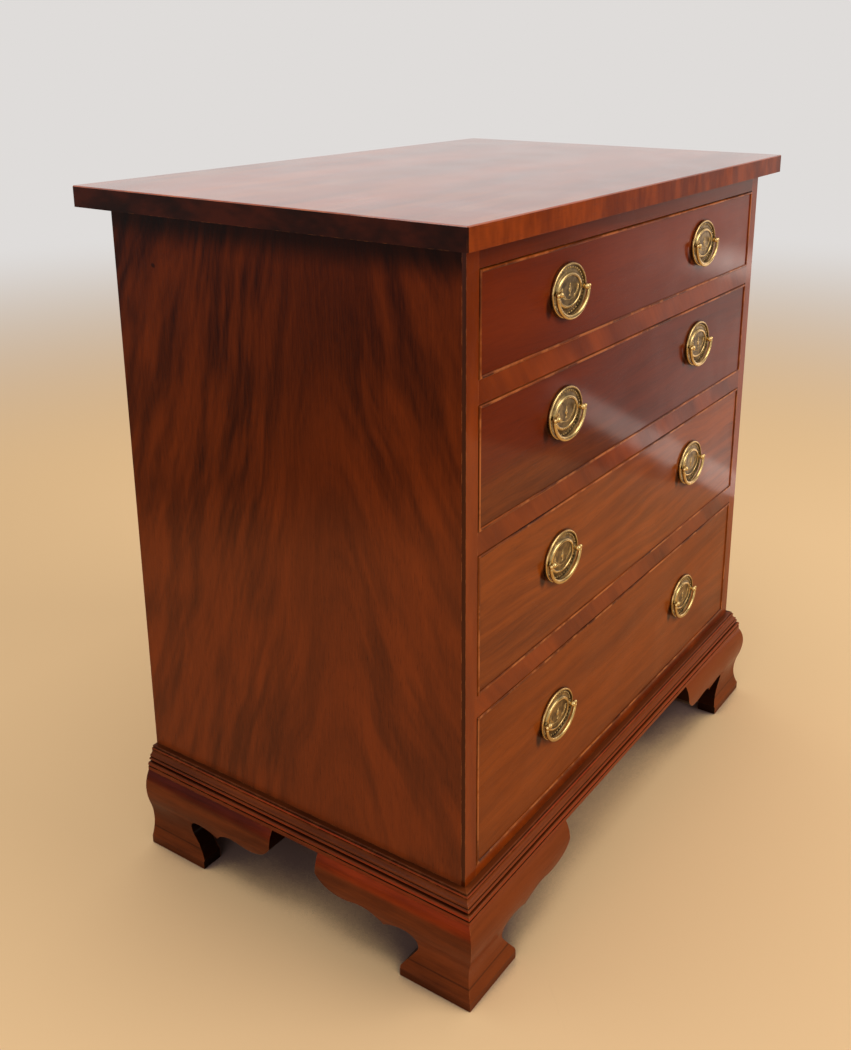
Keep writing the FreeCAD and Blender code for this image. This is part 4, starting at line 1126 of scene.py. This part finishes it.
def add_floor(studio):
    """A wide plain floor that keeps the chest's shadow, gets a painted shade near the chest, and turns into
    the background far off.
    """
    half = 40
    finish = Finish("floor")
    path = finish.node("LightPath")
    seen = finish.output(path, "Is Camera Ray").most(finish.output(path, "Is Glossy Ray"))
    away = finish.place.length().span(studio.near, studio.far) * seen
    # Painted shade on the floor near and under the chest.
    lit = finish.hollows(FLOOR_REACH, alone=False, samples=16).span(FLOOR_FULL, FLOOR_ENDS)
    shaded_floor = lit.mix(FLOOR_SHADE, studio.floor)
    finish.surface(Base_Color=away.mix(shaded_floor, (0.0, 0.0, 0.0)), Roughness=0.9,
                   Specular_IOR_Level=0.0, Emission_Color=studio.background, Emission_Strength=away)
    corners = [(-half, -half, 0), (half, -half, 0), (half, half, 0), (-half, half, 0)]
    floor = add_sheet("floor", corners, finish)


# The card of painted reflections stands square to the fronts: its x, its near and far ends along y, and its
# top.
CARD_ACROSS, CARD_NEAR, CARD_FAR, CARD_TOP = 1.2, -0.45, -1.40, 1.10
# The edge under which the card is dark: its fall per metre of y, and its height at y = 0, lowered.
EDGE_FALL, EDGE_LOWERED = 0.3165, 0.1456
# The upper band: its height, and its half width.
BAND_HEIGHT, BAND_HALF = 0.553, 0.026
CARD_TINT = (1.0, 0.86, 0.78)


def add_reflection_card(studio):
    """A dark card at the right that only gloss shows, painted with a glow at its near end and two bright
    bands: painted reflections on the fronts.

    The glow fills the card above a slanting edge. The lower band lies along that edge.
    """
    finish = Finish("card")
    _, y, z = finish.place.axes()
    over = y * EDGE_FALL + (z + EDGE_LOWERED)
    # Painted reflections: a glow and two bright bands, which only gloss shows.
    glow = over.span(0.0, 0.05) * y.span(-1.15, -0.50, 0.0, studio.glow)
    low_reflected_band = abs(over).span(0.046, 0.024, 0.0, studio.band) * y.span(-1.06, -0.92)
    high_reflected_band = z.line(BAND_HEIGHT, BAND_HALF, studio.band) * y.span(-0.72, -0.62)
    finish.surface(Base_Color=(0.0, 0.0, 0.0), Specular_IOR_Level=0.0, Emission_Color=CARD_TINT,
                   Emission_Strength=glow + low_reflected_band.most(high_reflected_band))
    card = add_sheet("card", [(CARD_ACROSS, CARD_NEAR, 0), (CARD_ACROSS, CARD_FAR, 0),
                              (CARD_ACROSS, CARD_FAR, CARD_TOP), (CARD_ACROSS, CARD_NEAR, CARD_TOP)], finish)
    card.visible_camera = card.visible_diffuse = card.visible_shadow = False


def light_background(studio):
    """A plain background for the camera and for gloss, and soft even light for everything else."""
    world = bpy.data.worlds.new("studio")
    world.use_nodes = True
    bpy.context.scene.world = world
    tree = world.node_tree
    tree.nodes.clear()
    shown, light = tree.nodes.new("ShaderNodeBackground"), tree.nodes.new("ShaderNodeBackground")
    shown.inputs["Color"].default_value = (*studio.background, 1)
    light.inputs["Color"].default_value = (1, 0.97, 0.94, 1)
    light.inputs["Strength"].default_value = studio.ambient
    path, either = tree.nodes.new("ShaderNodeLightPath"), tree.nodes.new("ShaderNodeMath")
    either.operation = "MAXIMUM"
    tree.links.new(path.outputs["Is Camera Ray"], either.inputs[0])
    tree.links.new(path.outputs["Is Glossy Ray"], either.inputs[1])
    choose, output = tree.nodes.new("ShaderNodeMixShader"), tree.nodes.new("ShaderNodeOutputWorld")
    tree.links.new(either.outputs[0], choose.inputs[0])
    tree.links.new(light.outputs[0], choose.inputs[1])
    tree.links.new(shown.outputs[0], choose.inputs[2])
    tree.links.new(choose.outputs[0], output.inputs["Surface"])


def add_camera(studio):
    """The camera, at a standing person's height off the chest's left front corner."""
    data = bpy.data.cameras.new("camera")
    data.sensor_width = 36
    data.lens = studio.lens
    data.shift_x, data.shift_y = studio.shift_across, studio.shift_up
    camera = stand(bpy.data.objects.new("camera", data))
    camera.location = studio.camera_place
    camera.rotation_euler = (studio.camera_tilt, studio.camera_roll, studio.camera_turn)
    bpy.context.scene.camera = camera


class CHEST_OT_set_stage(bpy.types.Operator):
    """Set the plain floor, the soft lamps and the camera round the chest"""

    bl_idname = "chest.set_stage"
    bl_label = "Studio"

    def execute(self, context):
        studio = context.scene.chest_studio
        context.scene.view_settings.view_transform = "Standard"
        add_floor(studio)
        light_background(studio)
        middle = (0, 0, 0.45)
        add_lamp("key_lamp", (1.2, -3.4, 2.6), middle, 2.6, 2.0, studio.key, (1, 0.97, 0.93))
        add_lamp("fill_lamp", (-3.6, -0.6, 1.6), middle, 2.6, 2.0, studio.fill, (1, 0.98, 0.96))
        add_lamp("overhead_lamp", (0, 0.3, 3.4), middle, 3.0, 3.0, studio.overhead, (1, 1, 1))
        add_reflection_card(studio)
        add_camera(studio)
        return {"FINISHED"}


STEPS = (CHEST_OT_polish_sides, CHEST_OT_polish_top, CHEST_OT_polish_facings, CHEST_OT_polish_rails,
         CHEST_OT_polish_base, CHEST_OT_polish_drawer_fronts, CHEST_OT_polish_cockbeads,
         CHEST_OT_finish_drawer_linings, CHEST_OT_finish_carcase, CHEST_OT_add_plates,
         CHEST_OT_add_posts, CHEST_OT_add_bails, CHEST_OT_set_stage)
GROUPS = {"chest_polish": ChestPolishSettings, "chest_handle": ChestHandleSettings,
          "chest_studio": ChestStudioSettings}


class CHEST_PT_dressing(bpy.types.Panel):
    """Lists the chest's settings and the steps that use them"""

    bl_label = "Bachelors Chest"
    bl_idname = "CHEST_PT_dressing"
    bl_space_type = "VIEW_3D"
    bl_region_type = "UI"
    bl_category = "Chest"

    def draw(self, context):
        for step in STEPS:
            self.layout.operator(step.bl_idname)
        for group in GROUPS:
            box = self.layout.box()
            box.label(text=group.replace("_", " ").capitalize())
            settings = getattr(context.scene, group)
            for name in settings.__annotations__:
                box.prop(settings, name)


CLASSES = (*GROUPS.values(), *STEPS, CHEST_PT_dressing)


def register():
    for cls in CLASSES:
        bpy.utils.register_class(cls)
    for name, group in GROUPS.items():
        setattr(bpy.types.Scene, name, bpy.props.PointerProperty(type=group))


def unregister():
    for name in GROUPS:
        delattr(bpy.types.Scene, name)
    for cls in reversed(CLASSES):
        bpy.utils.unregister_class(cls)


def main():
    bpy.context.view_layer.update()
    register()
    for step in STEPS:
        group, name = step.bl_idname.split(".")
        getattr(getattr(bpy.ops, group), name)()


if __name__ == "__main__":
    main()
